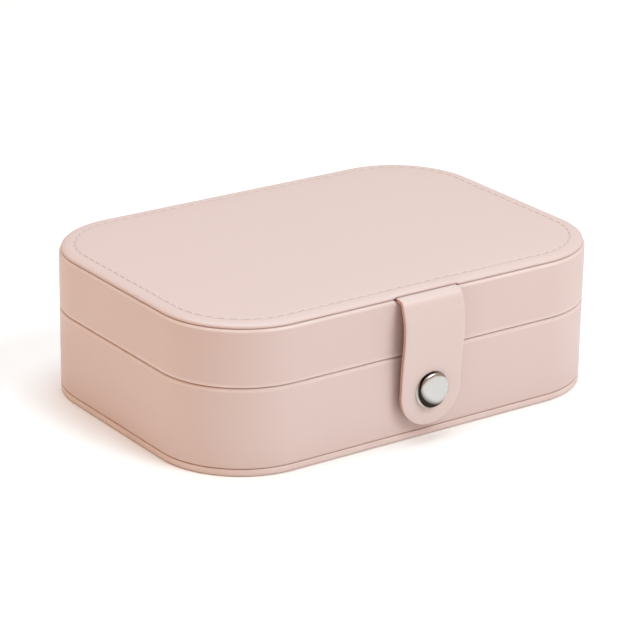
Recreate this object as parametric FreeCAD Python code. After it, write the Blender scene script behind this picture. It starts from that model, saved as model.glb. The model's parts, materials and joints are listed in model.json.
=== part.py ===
"""Travel jewellery case: a base, a hinged lid, a strap with a press stud, and a lift-out ring tray.

Millimetres. The origin is the centre of the face the case rests on, +Z is up, the strap is at the
front (-Y) and +X is to the right. Every piece is its own solid, written to parts/NAME.step.
"""
import FreeCAD, Part
import math
import os

from FreeCAD import Vector

# ---------------------------------------------------------------- driving dimensions
width = 165.0                  # case, left to right
depth = 116.0                  # case, front wall to back wall
corner_radius = 30.6           # corners of the case seen from above
plate_height = 2.6             # bottom plate with its cover
split_height = 30.2            # middle of the line between base and lid
seat_height = 50.0             # underside of the padded top panel
split_gap = 0.4                # between the base's rim and the lid's rim

cover = 0.7                    # imitation leather
core = 2.0                     # board of the side walls
lining = 0.6                   # velvet on the side walls
rim_round = 1.0                # outer edge of both rims at the split
seat_round = 0.8               # outer edge of the lid's side cover under the top panel
groove_round = 0.45            # the two edges that meet in the groove above the bottom plate
plate_round = 0.8              # lower edge of the bottom plate
lining_step = 1.2              # how far the wall linings stop short of a rim
loose = 0.1                    # play round a board that is dropped into place

floor_board = 1.2              # board under the floor lining
floor_lining = 0.8             # padded velvet on the base's floor
panel_board = 0.9              # board of the top panel
panel_foam = 0.5               # foam of the top panel
panel_cover = 0.6              # its leather
panel_inset = 0.7              # top panel's edge, in from the wall face
panel_round = 1.6              # pillowed edge of the top panel
ceiling_board = 1.2            # board of the lid's inside panel
ceiling_lining = 0.6           # velvet of the lid's inside panel
ceiling_gap = 0.8              # between the top panel and the inside panel, where the strap's tail lies

# Lower layer, under the tray
divider = 2.4                  # thickness of a lower divider
divider_round = 0.8            # its top edges
long_divider_y = -9.0          # where the long divider stands
back_divider_x = 27.0          # the two short dividers behind it, left and right of the middle

# Tray
tray_clearance = 1.4           # round the tray, to the wall linings
tray_seat = 0.2                # under the tray, to the lower dividers
tray_rim_drop = 1.0            # the tray's rim, below the base's rim
tray_height = 12.2
tray_cover = 0.5
tray_board = 1.2
tray_wall = 1.4
tray_lining = 0.5
tray_floor_lining = 0.6
tray_divider = 2.0
tray_divider_drop = 0.6        # tops of the tray's dividers, below its rim
roll_zone = 52.4               # between the two long tray dividers
roll_count = 8
roll_gap = 0.4                 # between neighbouring rolls, and at both ends of each
roll_rise = 0.4                # tops of the rolls, above the tray's rim
roll_foot_round = 1.4
roll_top_share = 0.48          # radius of a roll's top edges, as a share of its width
cross_divider_y = 15.0         # the cross dividers stand this far behind and before the middle
tab_width = 12.0
tab_thickness = 0.8
tab_rise = 1.0                 # above the tray's rim
tab_foot = 1.9                 # its lower end, above the tray's floor

# Hinge at the back
hinge_width = 100.0
hinge_leather = 0.7
hinge_top_gap = 0.8            # from the top of the strip to the top panel's underside
hinge_bottom_gap = 0.6         # from the foot of the strip to the bottom plate
hinge_play = 0.4               # from the rounded end of the lower leaf to the upper leaf
hinge_lining = 0.5
hinge_lining_width = 96.0
hinge_lining_reach = 8.0       # on the base and on the lid

# Strap and press stud
strap_width = 24.1
strap_outer = 0.8
strap_inner = 0.66
strap_end = 5.2                # lowest point of the strap
strap_tail = 13.0              # how far the tail reaches in from the wall face
strap_tail_lap = 0.1           # how far the tail runs into the root
strap_tail_thickness = 0.6
strap_slot = 0.3               # play on each side of the tail in the lid cover's notch
strap_joint_play = 0.6         # from the bead where the strap bends down to the hanging strap
strap_seat_play = 0.05         # round the cap and the socket, where they press the strap flat
snap_height = 17.7
stud_flange = 0.6
stud_flange_edge = 0.36        # thickness of the flange at its edge
stud_flange_radius = 5.0
stud_flange_top_radius = 4.25
stud_neck_radius = 1.5
stud_neck_height = 0.35
stud_bulb_radius = 2.0
stud_bulb_start = 0.75         # from the flange to where the bulb is full
stud_tip_bevel = (0.4, 0.25)   # across and along
stud_reach = 1.95              # from the wall face to the stud's tip
stud_shank_radius = 1.2
washer_radius = 4.0
washer_thickness = 0.6
socket_height = 1.34
socket_radius = 5.3
socket_bore = 2.45
socket_bevel = 0.4
socket_clearance = 0.2         # from the stud's flange to the socket
spring_wire = 0.2              # radius of the wire
spring_play = 0.05             # round the wire in its groove
spring_groove_depth = 0.55
spring_turn = 340              # degrees; the ring is open for the rest
cap_radius = 6.4               # of the flange that lies on the strap
cap_flange = 0.4               # thickness of the flange
cap_flange_round = 0.2
cap_neck_radius = 5.55         # between the flange and the dome
cap_neck_top = 0.6             # heights above the strap, as the next two
cap_dome_radius = 6.0
cap_dome_line = 1.05           # where the dome is widest
cap_rise = 2.15                # top of the dome
cap_dome_steps = 8
cap_post_radius = 1.3

# Lid fittings
pouch_width = 112.0
pouch_length = 40.0            # from its mouth towards the hinge
pouch_mouth_y = 4.0
pouch_depth = 3.7              # below the ceiling
pouch_cloth = 0.7
pouch_round = 14.0
pouch_edge_radius = 1.1
hook_strip_size = (98.0, 11.0, 0.9)
hook_strip_round = 5.0
hook_row_y = -37.0
hook_count = 5
hook_spacing = 19.0
hook_wire = 0.55
hook_foot_radius = 2.2
hook_foot = 0.5
hook_bend = 0.8
hook_run = 3.6
hook_tip = 0.5

# ---------------------------------------------------------------- sizes that follow
wall = cover + core + lining
base_rim = split_height - split_gap / 2
lid_rim = split_height + split_gap / 2
floor_top = plate_height + floor_board + floor_lining
ceiling_top = seat_height - ceiling_gap
ceiling = ceiling_top - ceiling_board - ceiling_lining
strap_thickness = strap_outer + strap_inner
tray_top = base_rim - tray_rim_drop
tray_bottom = tray_top - tray_height
tray_floor_top = tray_bottom + tray_cover + tray_board + tray_floor_lining
tray_inset = wall + tray_clearance
front = -depth / 2
back = depth / 2
snap_standoff = stud_flange + socket_clearance + socket_height + strap_thickness / 2

# The strap's bow: distance of its middle from the wall face. Near its root it is given by its drop
# below the top panel's seat, lower down by its share of the way from the seat to the press stud.
strap_root = ((0.20, 0.35), (1.33, 0.20), (2.30, 1.10), (2.99, 3.20))
strap_pivot = strap_root[2]
strap_bow = ((0.25, 1.30), (0.435, 1.34), (0.62, 0.77), (0.81, 0.25), (1.0, 0.0))
strap_foot = ((0.38, -0.20), (1.0, -0.45))

past = 1.0                     # how far a cutter reaches past what it cuts
well_past = 20.0               # and where it has to pass the whole strap
same = 1e-6                    # two lengths this close are equal

pieces = {}


# ---------------------------------------------------------------- helpers
def rounded_block(inset, low, high, top_round=0.0, foot_round=0.0):
    """A solid with the case's outline, drawn in by inset, its upper and lower edges rounded."""
    half_w = width / 2 - inset
    half_d = depth / 2 - inset
    radius = corner_radius - inset
    mid = radius * (1 - math.sqrt(0.5))
    ends = []
    arcs = []
    for index, (sx, sy) in enumerate(((1, 1), (-1, 1), (-1, -1), (1, -1))):
        x = sx * half_w
        y = sy * half_d
        along_y = Vector(x, y - sy * radius, low)
        along_x = Vector(x - sx * radius, y, low)
        middle = Vector(x - sx * mid, y - sy * mid, low)
        first, last = (along_y, along_x) if index % 2 == 0 else (along_x, along_y)
        arcs.append(Part.Arc(first, middle, last).toShape())
        ends.append((first, last))
    edges = []
    for index in range(4):
        edges.append(arcs[index])
        edges.append(Part.makeLine(ends[index][1], ends[(index + 1) % 4][0]))
    solid = Part.Face(Part.Wire(edges)).extrude(Vector(0, 0, high - low))
    for level, rounding in ((high, top_round), (low, foot_round)):
        if rounding:
            rim = [edge for edge in solid.Edges
                   if abs(edge.BoundBox.ZMin - level) < same and edge.BoundBox.ZLength < same]
            solid = solid.makeFillet(rounding, rim)
    return solid


def ring(inset, thickness, low, high):
    """A wall that follows the case's outline."""
    return rounded_block(inset, low, high).cut(rounded_block(inset + thickness, low - past, high + past))


def block(x0, x1, y0, y1, z0, z1):
    return Part.makeBox(x1 - x0, y1 - y0, z1 - z0, Vector(x0, y0, z0))


def rod(radius, start, end):
    direction = Vector(*end) - Vector(*start)
    return Part.makeCylinder(radius, direction.Length, Vector(*start), direction)


def round_edges(solid, radius, chosen):
    return solid.makeFillet(radius, [edge for edge in solid.Edges if chosen(edge)])


def runs_along(edge, axis):
    box = edge.BoundBox
    sizes = {"x": box.XLength, "y": box.YLength, "z": box.ZLength}
    length = sizes.pop(axis)
    return length > same and max(sizes.values()) < same


def turned(profile):
    """A solid turned round the press stud's axis; profile points are (radius, distance from the wall)."""
    points = [Vector(radius, front - out, snap_height) for radius, out in profile]
    face = Part.Face(Part.makePolygon(points + points[:1]))
    return face.revolve(Vector(0, 0, snap_height), Vector(0, 1, 0), 360)


# ---------------------------------------------------------------- base
def make_base():
    pieces["base_plate_board"] = rounded_block(cover, cover, plate_height)
    plate = rounded_block(0, 0, plate_height, groove_round, plate_round)
    pieces["base_plate_cover"] = plate.cut(pieces["base_plate_board"])

    hole = rod(stud_shank_radius, (0, front - past, snap_height), (0, front + cover + core, snap_height))
    washer_inner = front + cover + core
    recess = rod(washer_radius, (0, washer_inner - washer_thickness, snap_height),
                 (0, washer_inner, snap_height))
    core_space = rounded_block(cover, plate_height, base_rim - cover)
    hollow = rounded_block(cover + core, plate_height - past, base_rim + past)
    band = rounded_block(0, plate_height, base_rim, rim_round, groove_round)
    pieces["base_wall_core"] = core_space.cut(hollow).cut(hole).cut(recess)
    pieces["base_side_cover"] = band.cut(core_space).cut(hollow).cut(hole)
    lining_low = plate_height + floor_board
    pieces["base_wall_lining"] = ring(cover + core, lining, lining_low, base_rim - lining_step)

    board_inset = cover + core + loose
    pieces["base_floor_board"] = rounded_block(board_inset, plate_height, plate_height + floor_board)
    pieces["base_floor_lining"] = rounded_block(wall + loose, floor_top - floor_lining, floor_top)


def make_lower_dividers():
    low = floor_top
    high = tray_bottom - tray_seat
    room = rounded_block(wall + loose, low, high)
    half = divider / 2

    def stand(x0, x1, y0, y1):
        wall_piece = block(x0, x1, y0, y1, low, high)
        along = "x" if x1 - x0 > y1 - y0 else "y"
        rounded = round_edges(wall_piece, divider_round,
                              lambda e: runs_along(e, along) and abs(e.BoundBox.ZMax - high) < same)
        return rounded.common(room)

    behind = long_divider_y + half + loose
    before = long_divider_y - half - loose
    pieces["lower_divider_long"] = stand(-width / 2, width / 2, long_divider_y - half, long_divider_y + half)
    for side, x in (("left", -back_divider_x), ("right", back_divider_x)):
        pieces["lower_divider_back_" + side] = stand(x - half, x + half, behind, back)
    pieces["lower_divider_front"] = stand(-half, half, front, before)


# ---------------------------------------------------------------- lid
def make_lid():
    core_space = rounded_block(cover, lid_rim + cover, seat_height - cover)
    hollow = rounded_block(cover + core, lid_rim - past, seat_height + past)
    band = rounded_block(0, lid_rim, seat_height, seat_round, rim_round)
    half_notch = strap_width / 2 + strap_slot
    notch = block(-half_notch, half_notch, front - past, front + wall + past, seat_height - cover,
                  seat_height + past)
    pieces["lid_wall_core"] = core_space.cut(hollow)
    pieces["lid_side_cover"] = band.cut(core_space).cut(hollow).cut(notch)
    pieces["lid_wall_lining"] = ring(cover + core, lining, lid_rim + lining_step, ceiling_top)

    board_inset = panel_inset + panel_cover
    foam_top = seat_height + panel_board + panel_foam
    panel = rounded_block(panel_inset, seat_height, foam_top + panel_cover, panel_round)
    filling = rounded_block(board_inset, seat_height, foam_top, panel_foam)
    board = rounded_block(board_inset, seat_height, seat_height + panel_board)
    pieces["lid_top_board"] = board
    pieces["lid_top_foam"] = filling.cut(board)
    pieces["lid_top_cover"] = panel.cut(filling)

    inside = wall + loose
    lined_low = ceiling_top - ceiling_board
    pieces["lid_panel_board"] = rounded_block(inside, lined_low, ceiling_top)
    pieces["lid_panel_lining"] = rounded_block(inside, ceiling, lined_low)


def make_hinge():
    """Leather outside and lining inside; the axis runs through the leather, level with the split."""
    axis_y = back + hinge_leather / 2
    half = hinge_width / 2
    outside = back + hinge_leather
    leaf_foot = plate_height + hinge_bottom_gap
    lower = block(-half, half, back, outside, leaf_foot, split_height)
    bead = rod(hinge_leather / 2, (-half, axis_y, split_height), (half, axis_y, split_height))
    pieces["hinge_leather_lower"] = lower.fuse(bead).removeSplitter()
    leaf_start = split_height + hinge_leather / 2 + hinge_play
    pieces["hinge_leather_upper"] = block(-half, half, back, outside, leaf_start, seat_height - hinge_top_gap)

    inner_face = back - wall
    half = hinge_lining_width / 2
    top = base_rim - lining_step
    start = lid_rim + lining_step
    lining_y = (inner_face - hinge_lining, inner_face)
    pieces["hinge_lining_lower"] = block(-half, half, *lining_y, top - hinge_lining_reach, top)
    pieces["hinge_lining_upper"] = block(-half, half, *lining_y, start, start + hinge_lining_reach)


def make_lid_fittings():
    length, across, thick = hook_strip_size
    strip_low = ceiling - thick
    strip = block(-length / 2, length / 2, hook_row_y - across / 2, hook_row_y + across / 2,
                  strip_low, ceiling)
    pieces["hook_strip"] = round_edges(strip, hook_strip_round, lambda e: runs_along(e, "z"))

    for index in range(hook_count):
        x = (index - (hook_count - 1) / 2) * hook_spacing
        pieces["necklace_hook_%d" % (index + 1)] = make_hook(x, strip_low)

    half = pouch_width / 2
    end_y = pouch_mouth_y + pouch_length
    bag = block(-half, half, pouch_mouth_y, end_y, ceiling - pouch_depth, ceiling)
    bag = round_edges(bag, pouch_round,
                      lambda e: runs_along(e, "z") and e.BoundBox.YMax > pouch_mouth_y + past)
    bag = round_edges(bag, pouch_depth / 2, lambda e: abs(e.BoundBox.ZMax - ceiling + pouch_depth) < same
                      and e.BoundBox.YMax > pouch_mouth_y + past)
    inner = block(-half + pouch_cloth, half - pouch_cloth, pouch_mouth_y - past, end_y - pouch_cloth,
                  ceiling - pouch_depth + pouch_cloth, ceiling - pouch_cloth / 2)
    inner = round_edges(inner, pouch_round - pouch_cloth,
                        lambda e: runs_along(e, "z") and e.BoundBox.YMax > pouch_mouth_y + past)
    pieces["necklace_pouch"] = bag.cut(inner)
    edge_z = ceiling - pouch_depth + pouch_edge_radius
    edge_y = pouch_mouth_y - pouch_edge_radius
    pieces["pouch_elastic"] = rod(pouch_edge_radius, (-half, edge_y, edge_z), (half, edge_y, edge_z))


def make_hook(x, top):
    """A wire hook on a round foot: down from the strip, forward, and up at its tip."""
    foot_low = top - hook_foot
    foot = Part.makeCylinder(hook_foot_radius, hook_foot, Vector(x, hook_row_y, foot_low))
    run_z = ceiling - pouch_depth + hook_wire
    stem_end = Vector(x, hook_row_y, run_z + hook_bend)
    run_start = Vector(x, hook_row_y - hook_bend, run_z)
    run_end = Vector(x, hook_row_y - hook_bend - hook_run, run_z)
    tip_start = Vector(x, run_end.y - hook_bend, run_z + hook_bend)
    tip = tip_start + Vector(0, 0, hook_tip)
    near = hook_bend * (1 - math.sqrt(0.5))
    first_mid = Vector(x, hook_row_y - near, run_z + near)
    last_mid = Vector(x, tip_start.y + near, run_z + near)
    path = Part.Wire([
        Part.makeLine(Vector(x, hook_row_y, foot_low), stem_end),
        Part.Arc(stem_end, first_mid, run_start).toShape(),
        Part.makeLine(run_start, run_end),
        Part.Arc(run_end, last_mid, tip_start).toShape(),
        Part.makeLine(tip_start, tip),
    ])
    section = Part.Wire([Part.makeCircle(hook_wire, Vector(x, hook_row_y, foot_low), Vector(0, 0, 1))])
    wire = path.makePipeShell([section], True, True)
    return foot.fuse(wire).removeSplitter()


# ---------------------------------------------------------------- strap and press stud
def strap_line():
    """Points of the strap's middle as (distance from the wall face, height), from root to end."""
    points = [(out, seat_height - drop) for out, drop in strap_root]
    drop = seat_height - snap_height
    points += [(snap_standoff + extra, seat_height - share * drop) for share, extra in strap_bow]
    drop = snap_height - strap_end
    points += [(snap_standoff + extra, snap_height - share * drop) for share, extra in strap_foot]
    return points


def strap_layer(outer, inner, part):
    """A layer of the strap between two distances from its middle; part is "root" or "hanging"."""
    middle = Part.BSplineCurve()
    middle.interpolate([Vector(0, front - out, z) for out, z in strap_line()])
    pivot = Vector(0, front - strap_pivot[0], seat_height - strap_pivot[1])
    turn = middle.parameter(pivot)
    first, last = (middle.FirstParameter, turn) if part == "root" else (turn, middle.LastParameter)
    steps = 6 if part == "root" else 24
    sides = ([], [])
    for index in range(steps + 1):
        at = first + (last - first) * index / steps
        point = middle.value(at)
        along = middle.tangent(at)[0]
        normal = Vector(0, along.z, -along.y)
        for side, distance in zip(sides, (outer, inner)):
            side.append(point + normal * distance)
    curves = []
    for side in sides:
        curve = Part.BSplineCurve()
        curve.interpolate(side)
        curves.append(curve.toShape())
    caps = [Part.makeLine(sides[0][0], sides[1][0]), Part.makeLine(sides[0][-1], sides[1][-1])]
    outline = Part.Wire(Part.sortEdges([curves[0], caps[1], curves[1], caps[0]])[0])
    solid = Part.Face(outline).extrude(Vector(strap_width, 0, 0))
    solid.translate(Vector(-strap_width / 2, 0, 0))
    return solid


def make_strap():
    pivot_y = front - strap_pivot[0]
    pivot_z = seat_height - strap_pivot[1]
    half = strap_width / 2
    half_thick = strap_thickness / 2
    bead = rod(half_thick, (-half, pivot_y, pivot_z), (half, pivot_y, pivot_z))
    root = strap_layer(-half_thick, half_thick, "root")
    tail_low = seat_height - cover + (cover - strap_tail_thickness) / 2
    tail = block(-half, half, front - strap_root[0][0] - strap_tail_lap, front + strap_tail, tail_low,
                 tail_low + strap_tail_thickness)
    pieces["strap_anchor"] = root.fuse([bead, tail]).removeSplitter()

    room = rod(half_thick + strap_joint_play, (-width, pivot_y, pivot_z), (width, pivot_y, pivot_z))
    round_z = strap_end + half
    outside = front - well_past
    inside = front + past
    tip = rod(half, (0, outside, round_z), (0, inside, round_z))
    upright = block(-half, half, outside, inside, round_z, seat_height)
    outline = upright.fuse(tip).removeSplitter()
    post_hole = rod(cap_post_radius, (0, outside, snap_height), (0, inside, snap_height))
    socket_top = front - snap_standoff + half_thick
    socket_seat = rod(socket_radius + strap_seat_play, (0, socket_top, snap_height), (0, inside, snap_height))
    cap_low = socket_top - strap_thickness
    cap_seat = rod(cap_radius + strap_seat_play, (0, cap_low, snap_height), (0, outside, snap_height))
    seats = post_hole.fuse([socket_seat, cap_seat])
    boundary = half_thick - strap_outer
    for name, near, far in (("strap_outer", boundary, half_thick), ("strap_lining", -half_thick, boundary)):
        layer = strap_layer(near, far, "hanging")
        pieces[name] = layer.common(outline).cut(room).cut(seats)


def make_snap():
    shank_end = -(cover + core)
    washer_front = shank_end + washer_thickness
    tip_across, tip_along = stud_tip_bevel
    pieces["snap_stud"] = turned([
        (0, washer_front), (stud_shank_radius, washer_front), (stud_shank_radius, 0), (stud_flange_radius, 0),
        (stud_flange_radius, stud_flange_edge), (stud_flange_top_radius, stud_flange),
        (stud_neck_radius, stud_flange), (stud_neck_radius, stud_flange + stud_neck_height),
        (stud_bulb_radius, stud_flange + stud_bulb_start), (stud_bulb_radius, stud_reach - tip_along),
        (stud_bulb_radius - tip_across, stud_reach), (0, stud_reach)])
    pieces["stud_washer"] = turned([(0, shank_end), (washer_radius, shank_end), (washer_radius, washer_front),
                                    (0, washer_front)])

    socket_low = stud_flange + socket_clearance
    socket_top = socket_low + socket_height
    middle = (socket_low + socket_top) / 2
    groove = socket_bore + spring_groove_depth
    groove_half = spring_wire + spring_play
    pieces["snap_socket"] = turned([
        (socket_bore, socket_low), (socket_radius - socket_bevel, socket_low),
        (socket_radius, socket_low + socket_bevel),
        (socket_radius, socket_top), (socket_bore, socket_top), (socket_bore, middle + groove_half),
        (groove, middle + groove_half), (groove, middle - groove_half), (socket_bore, middle - groove_half)])
    ring_radius = groove - groove_half
    pieces["snap_spring"] = Part.makeTorus(ring_radius, spring_wire, Vector(0, front - middle, snap_height),
                                           Vector(0, 1, 0), -180, 180, spring_turn)

    cap_low = socket_top + strap_thickness
    flange = [(cap_radius - cap_flange_round, cap_low), (cap_radius, cap_low + cap_flange_round),
              (cap_radius - cap_flange_round, cap_low + cap_flange), (cap_neck_radius, cap_low + cap_flange),
              (cap_neck_radius, cap_low + cap_neck_top)]
    dome_low = cap_low + cap_dome_line
    rise = cap_rise - cap_dome_line
    dome = []
    for index in range(cap_dome_steps):
        angle = math.pi / 2 * index / cap_dome_steps
        dome.append((cap_dome_radius * math.cos(angle), dome_low + rise * math.sin(angle)))
    post = [(0, socket_top), (cap_post_radius, socket_top), (cap_post_radius, cap_low)]
    pieces["snap_cap"] = turned(post + flange + dome + [(0, dome_low + rise)])


# ---------------------------------------------------------------- tray
def make_tray():
    board_inset = tray_inset + tray_cover
    hollow_inset = board_inset + tray_wall
    floor_low = tray_bottom + tray_cover
    floor_high = floor_low + tray_board
    wall_top = tray_top - tray_cover
    boards = rounded_block(board_inset, floor_low, wall_top)
    hollow = rounded_block(hollow_inset, floor_high, tray_top + past)
    shell = rounded_block(tray_inset, tray_bottom, tray_top, tray_cover, tray_cover)
    pieces["tray_cover"] = shell.cut(boards).cut(hollow)
    pieces["tray_floor"] = rounded_block(board_inset, floor_low, floor_high)
    pieces["tray_wall"] = ring(board_inset, tray_wall, floor_high, wall_top)
    pieces["tray_floor_lining"] = rounded_block(hollow_inset + loose, floor_high, tray_floor_top)
    pieces["tray_wall_lining"] = ring(hollow_inset, tray_lining, tray_floor_top, tray_top)

    divider_top = tray_top - tray_divider_drop
    room = rounded_block(hollow_inset + tray_lining + loose, tray_floor_top, divider_top)
    inner_half_x = roll_zone / 2
    outer_half_x = inner_half_x + tray_divider
    cross_half = tray_divider / 2
    for side, sign in (("left", -1), ("right", 1)):
        near = min(sign * inner_half_x, sign * outer_half_x)
        wall_piece = block(near, near + tray_divider, front, back, tray_floor_top, divider_top)
        pieces["tray_divider_" + side] = wall_piece.common(room)
        cross_y = -sign * cross_divider_y
        end_x = sorted((sign * (outer_half_x + loose), sign * width / 2))
        cross = block(*end_x, cross_y - cross_half, cross_y + cross_half, tray_floor_top, divider_top)
        pieces["tray_cross_" + side] = cross.common(room)
        pieces["tray_tab_" + side] = make_tab(sign, hollow_inset + tray_lining)


def make_tab(sign, wall_inset):
    """A folded ribbon against the tray's end wall, to lift the tray by."""
    face = width / 2 - wall_inset
    x0, x1 = sorted((sign * face, sign * (face - tab_thickness)))
    half = tab_width / 2
    tab = block(x0, x1, -half, half, tray_floor_top + tab_foot, tray_top + tab_rise)
    return round_edges(tab, tab_width / 4, lambda e: runs_along(e, "x") and e.BoundBox.ZMax > tray_top)


def make_rolls():
    inner_depth = depth - 2 * (tray_inset + tray_cover + tray_wall + tray_lining)
    pitch = inner_depth / roll_count
    roll_width = pitch - roll_gap
    half_length = roll_zone / 2 - roll_gap
    roll_top = tray_top + roll_rise
    for index in range(roll_count):
        y = (index - (roll_count - 1) / 2) * pitch
        roll = block(-half_length, half_length, y - roll_width / 2, y + roll_width / 2,
                     tray_floor_top, roll_top)
        roll = round_edges(roll, roll_width * roll_top_share,
                           lambda e: runs_along(e, "x") and abs(e.BoundBox.ZMax - roll_top) < same)
        roll = round_edges(roll, roll_foot_round,
                           lambda e: runs_along(e, "x") and abs(e.BoundBox.ZMax - tray_floor_top) < same)
        pieces["ring_roll_%d" % (index + 1)] = roll


make_base()
make_lower_dividers()
make_lid()
make_hinge()
make_lid_fittings()
make_strap()
make_snap()
make_tray()
make_rolls()

os.makedirs("parts", exist_ok=True)
for name, shape in sorted(pieces.items()):
    solids = shape.Solids
    if not shape.isValid() or len(solids) != 1:
        print("CHECK", name, "valid", shape.isValid(), "solids", len(solids))
    shape = solids[0] if len(solids) == 1 else shape
    shape.exportStep("parts/%s.step" % name)
print(len(pieces), "pieces")
print("lid hinge axis: y %.3f z %.3f" % (back + hinge_leather / 2, split_height))
print("strap axis: y %.3f z %.3f" % (front - strap_pivot[0], seat_height - strap_pivot[1]))
print("tray: bottom %.2f top %.2f floor %.2f; lift to clear the rim %.2f" %
      (tray_bottom, tray_top, tray_floor_top, base_rim - tray_bottom))
print("lid ceiling %.2f, lowest fitting %.2f" % (ceiling, ceiling - pouch_depth))
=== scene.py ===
# %% [markdown]
# # A travel jewellery case in blush imitation leather
# The case is a base and a hinged lid, wrapped in soft imitation leather, with a padded top panel, a
# strap that closes with a press stud, and a lift-out tray of ring rolls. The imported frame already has
# every piece at its true size and place. This lesson dresses it: each cell models one leather, velvet
# or metal piece round the frame, or mixes one finish. All lengths are in metres.

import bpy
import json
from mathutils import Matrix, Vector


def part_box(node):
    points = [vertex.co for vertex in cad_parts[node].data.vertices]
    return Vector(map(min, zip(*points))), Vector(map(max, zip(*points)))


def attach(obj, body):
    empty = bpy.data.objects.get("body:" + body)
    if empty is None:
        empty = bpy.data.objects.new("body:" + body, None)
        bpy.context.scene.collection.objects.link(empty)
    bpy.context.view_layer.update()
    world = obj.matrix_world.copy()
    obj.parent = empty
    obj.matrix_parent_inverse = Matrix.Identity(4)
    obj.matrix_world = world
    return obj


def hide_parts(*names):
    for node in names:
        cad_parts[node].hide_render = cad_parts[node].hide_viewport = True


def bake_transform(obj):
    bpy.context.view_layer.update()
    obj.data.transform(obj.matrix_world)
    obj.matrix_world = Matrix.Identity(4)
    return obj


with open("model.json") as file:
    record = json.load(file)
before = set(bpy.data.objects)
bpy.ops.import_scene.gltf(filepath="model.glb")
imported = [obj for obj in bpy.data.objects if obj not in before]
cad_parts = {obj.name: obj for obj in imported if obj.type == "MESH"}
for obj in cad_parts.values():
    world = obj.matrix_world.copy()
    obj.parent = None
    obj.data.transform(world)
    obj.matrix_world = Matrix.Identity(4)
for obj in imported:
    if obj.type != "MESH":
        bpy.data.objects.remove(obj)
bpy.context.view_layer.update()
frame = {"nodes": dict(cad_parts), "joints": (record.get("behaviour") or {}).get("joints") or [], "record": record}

# %% [markdown]
# Everything is measured from the frame. A few shorthand names for its boxes keep the later cells short.
# The corner radius isn't stored anywhere, so it is read off the base wall: it is the distance from the
# end of the straight front to the side.

# %% Sizes read from the frame
import bmesh
import bpy
import json
import math
import random
from mathutils import Matrix, Vector

MM = 0.001
case_low, case_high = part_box("base_side_cover")
plate_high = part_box("base_plate_cover")[1]
lid_low, lid_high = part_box("lid_side_cover")
panel_low, panel_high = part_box("lid_top_cover")


def corner_radius_of(node):
    """How far a node's rounded plan corner reaches in from its side."""
    low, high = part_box(node)
    on_front = [v.co.x for v in frame["nodes"][node].data.vertices if v.co.y < low.y + 0.01 * MM]
    return high.x - max(on_front)


case_radius = corner_radius_of("base_side_cover")
front = case_low.y
back = case_high.y
split = (case_high.z + lid_low.z) / 2
pivot = next(j for j in frame["joints"] if j["name"] == "strap_lift")
print("corner radius %.1f mm, split at %.1f mm" % (case_radius / MM, split / MM))

# %% [markdown]
# ## The viewpoint
# The case is seen from its front left and a little above, from about a metre away with a long lens, so
# its edges stay nearly parallel. The camera's axes are built from an azimuth, an elevation and a small
# roll, which reads better in code than three turned angles.

# %% Camera
VIEW_AZIMUTH = math.radians(-35.57)
VIEW_ELEVATION = math.radians(21.17)
VIEW_ROLL = math.radians(0.975)
VIEW_DISTANCE = 0.9817
AIM_HEIGHT = 24.75 * MM
AIM_RIGHT = -0.86 * MM
AIM_UP = -2.76 * MM
LENS = 161.95
SENSOR = 36
NEAREST = 0.05


def make_camera():
    backwards = Vector((math.sin(VIEW_AZIMUTH) * math.cos(VIEW_ELEVATION),
                        -math.cos(VIEW_AZIMUTH) * math.cos(VIEW_ELEVATION), math.sin(VIEW_ELEVATION)))
    right = Vector((math.cos(VIEW_AZIMUTH), math.sin(VIEW_AZIMUTH), 0))
    up = backwards.cross(right)
    aim = Vector((0, 0, AIM_HEIGHT)) + right * AIM_RIGHT + up * AIM_UP
    rolled_right = right * math.cos(VIEW_ROLL) + up * math.sin(VIEW_ROLL)
    rolled_up = up * math.cos(VIEW_ROLL) - right * math.sin(VIEW_ROLL)
    turn = Matrix((rolled_right, rolled_up, backwards)).transposed()
    bpy.ops.object.camera_add(location=aim + backwards * VIEW_DISTANCE, rotation=turn.to_euler())
    camera = bpy.context.object
    camera.name = "camera"
    camera.data.lens = LENS
    camera.data.sensor_width = SENSOR
    camera.data.clip_start = NEAREST
    bpy.context.scene.camera = camera
    return camera


camera = make_camera()
print("camera at", [round(v, 3) for v in camera.location])

# %% [markdown]
# ## Floor and light
# A product like this is lit by big soft sources on a white sweep, and graded a little cool in the light
# and warm in the shade. An overhead panel keeps the top brightest, a broad key from the front models
# the front wall and puts a tight shadow under the strap, and a warm room and a weak lamp on the left
# fill the shaded side. The white floor is lit to plain white.

# %% Floor and lights
FLOOR_COLOUR = (0.95, 0.945, 0.94, 1)
ROOM_LIGHT = 0.525
ROOM_COLOUR = (1.0, 0.60, 0.433, 1)
FLOOR_SIZE = 6
LAMPS = (       # name, place, aim, width, power, colour
    ("key", (0.34, -0.78, 0.85), (0, 0, 0.02), 0.7, 9.5, (0.824, 0.963, 1.0)),
    ("top", (0.0, 0.15, 1.2), (0, 0, 0.03), 0.9, 12.06, (0.571, 0.857, 1.0)),
    ("fill", (-1.05, 0.22, 0.5), (0, 0, 0.02), 0.7, 2.8, (1.0, 0.631, 0.27)),
)


def make_floor():
    bpy.ops.mesh.primitive_plane_add(size=FLOOR_SIZE, location=(0, 0, 0))
    floor = bpy.context.object
    floor.name = "floor"
    paint = bpy.data.materials.new("floor")
    paint.use_nodes = True
    shader = paint.node_tree.nodes["Principled BSDF"]
    shader.inputs["Base Color"].default_value = FLOOR_COLOUR
    shader.inputs["Roughness"].default_value = 0.9
    floor.data.materials.append(paint)


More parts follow.
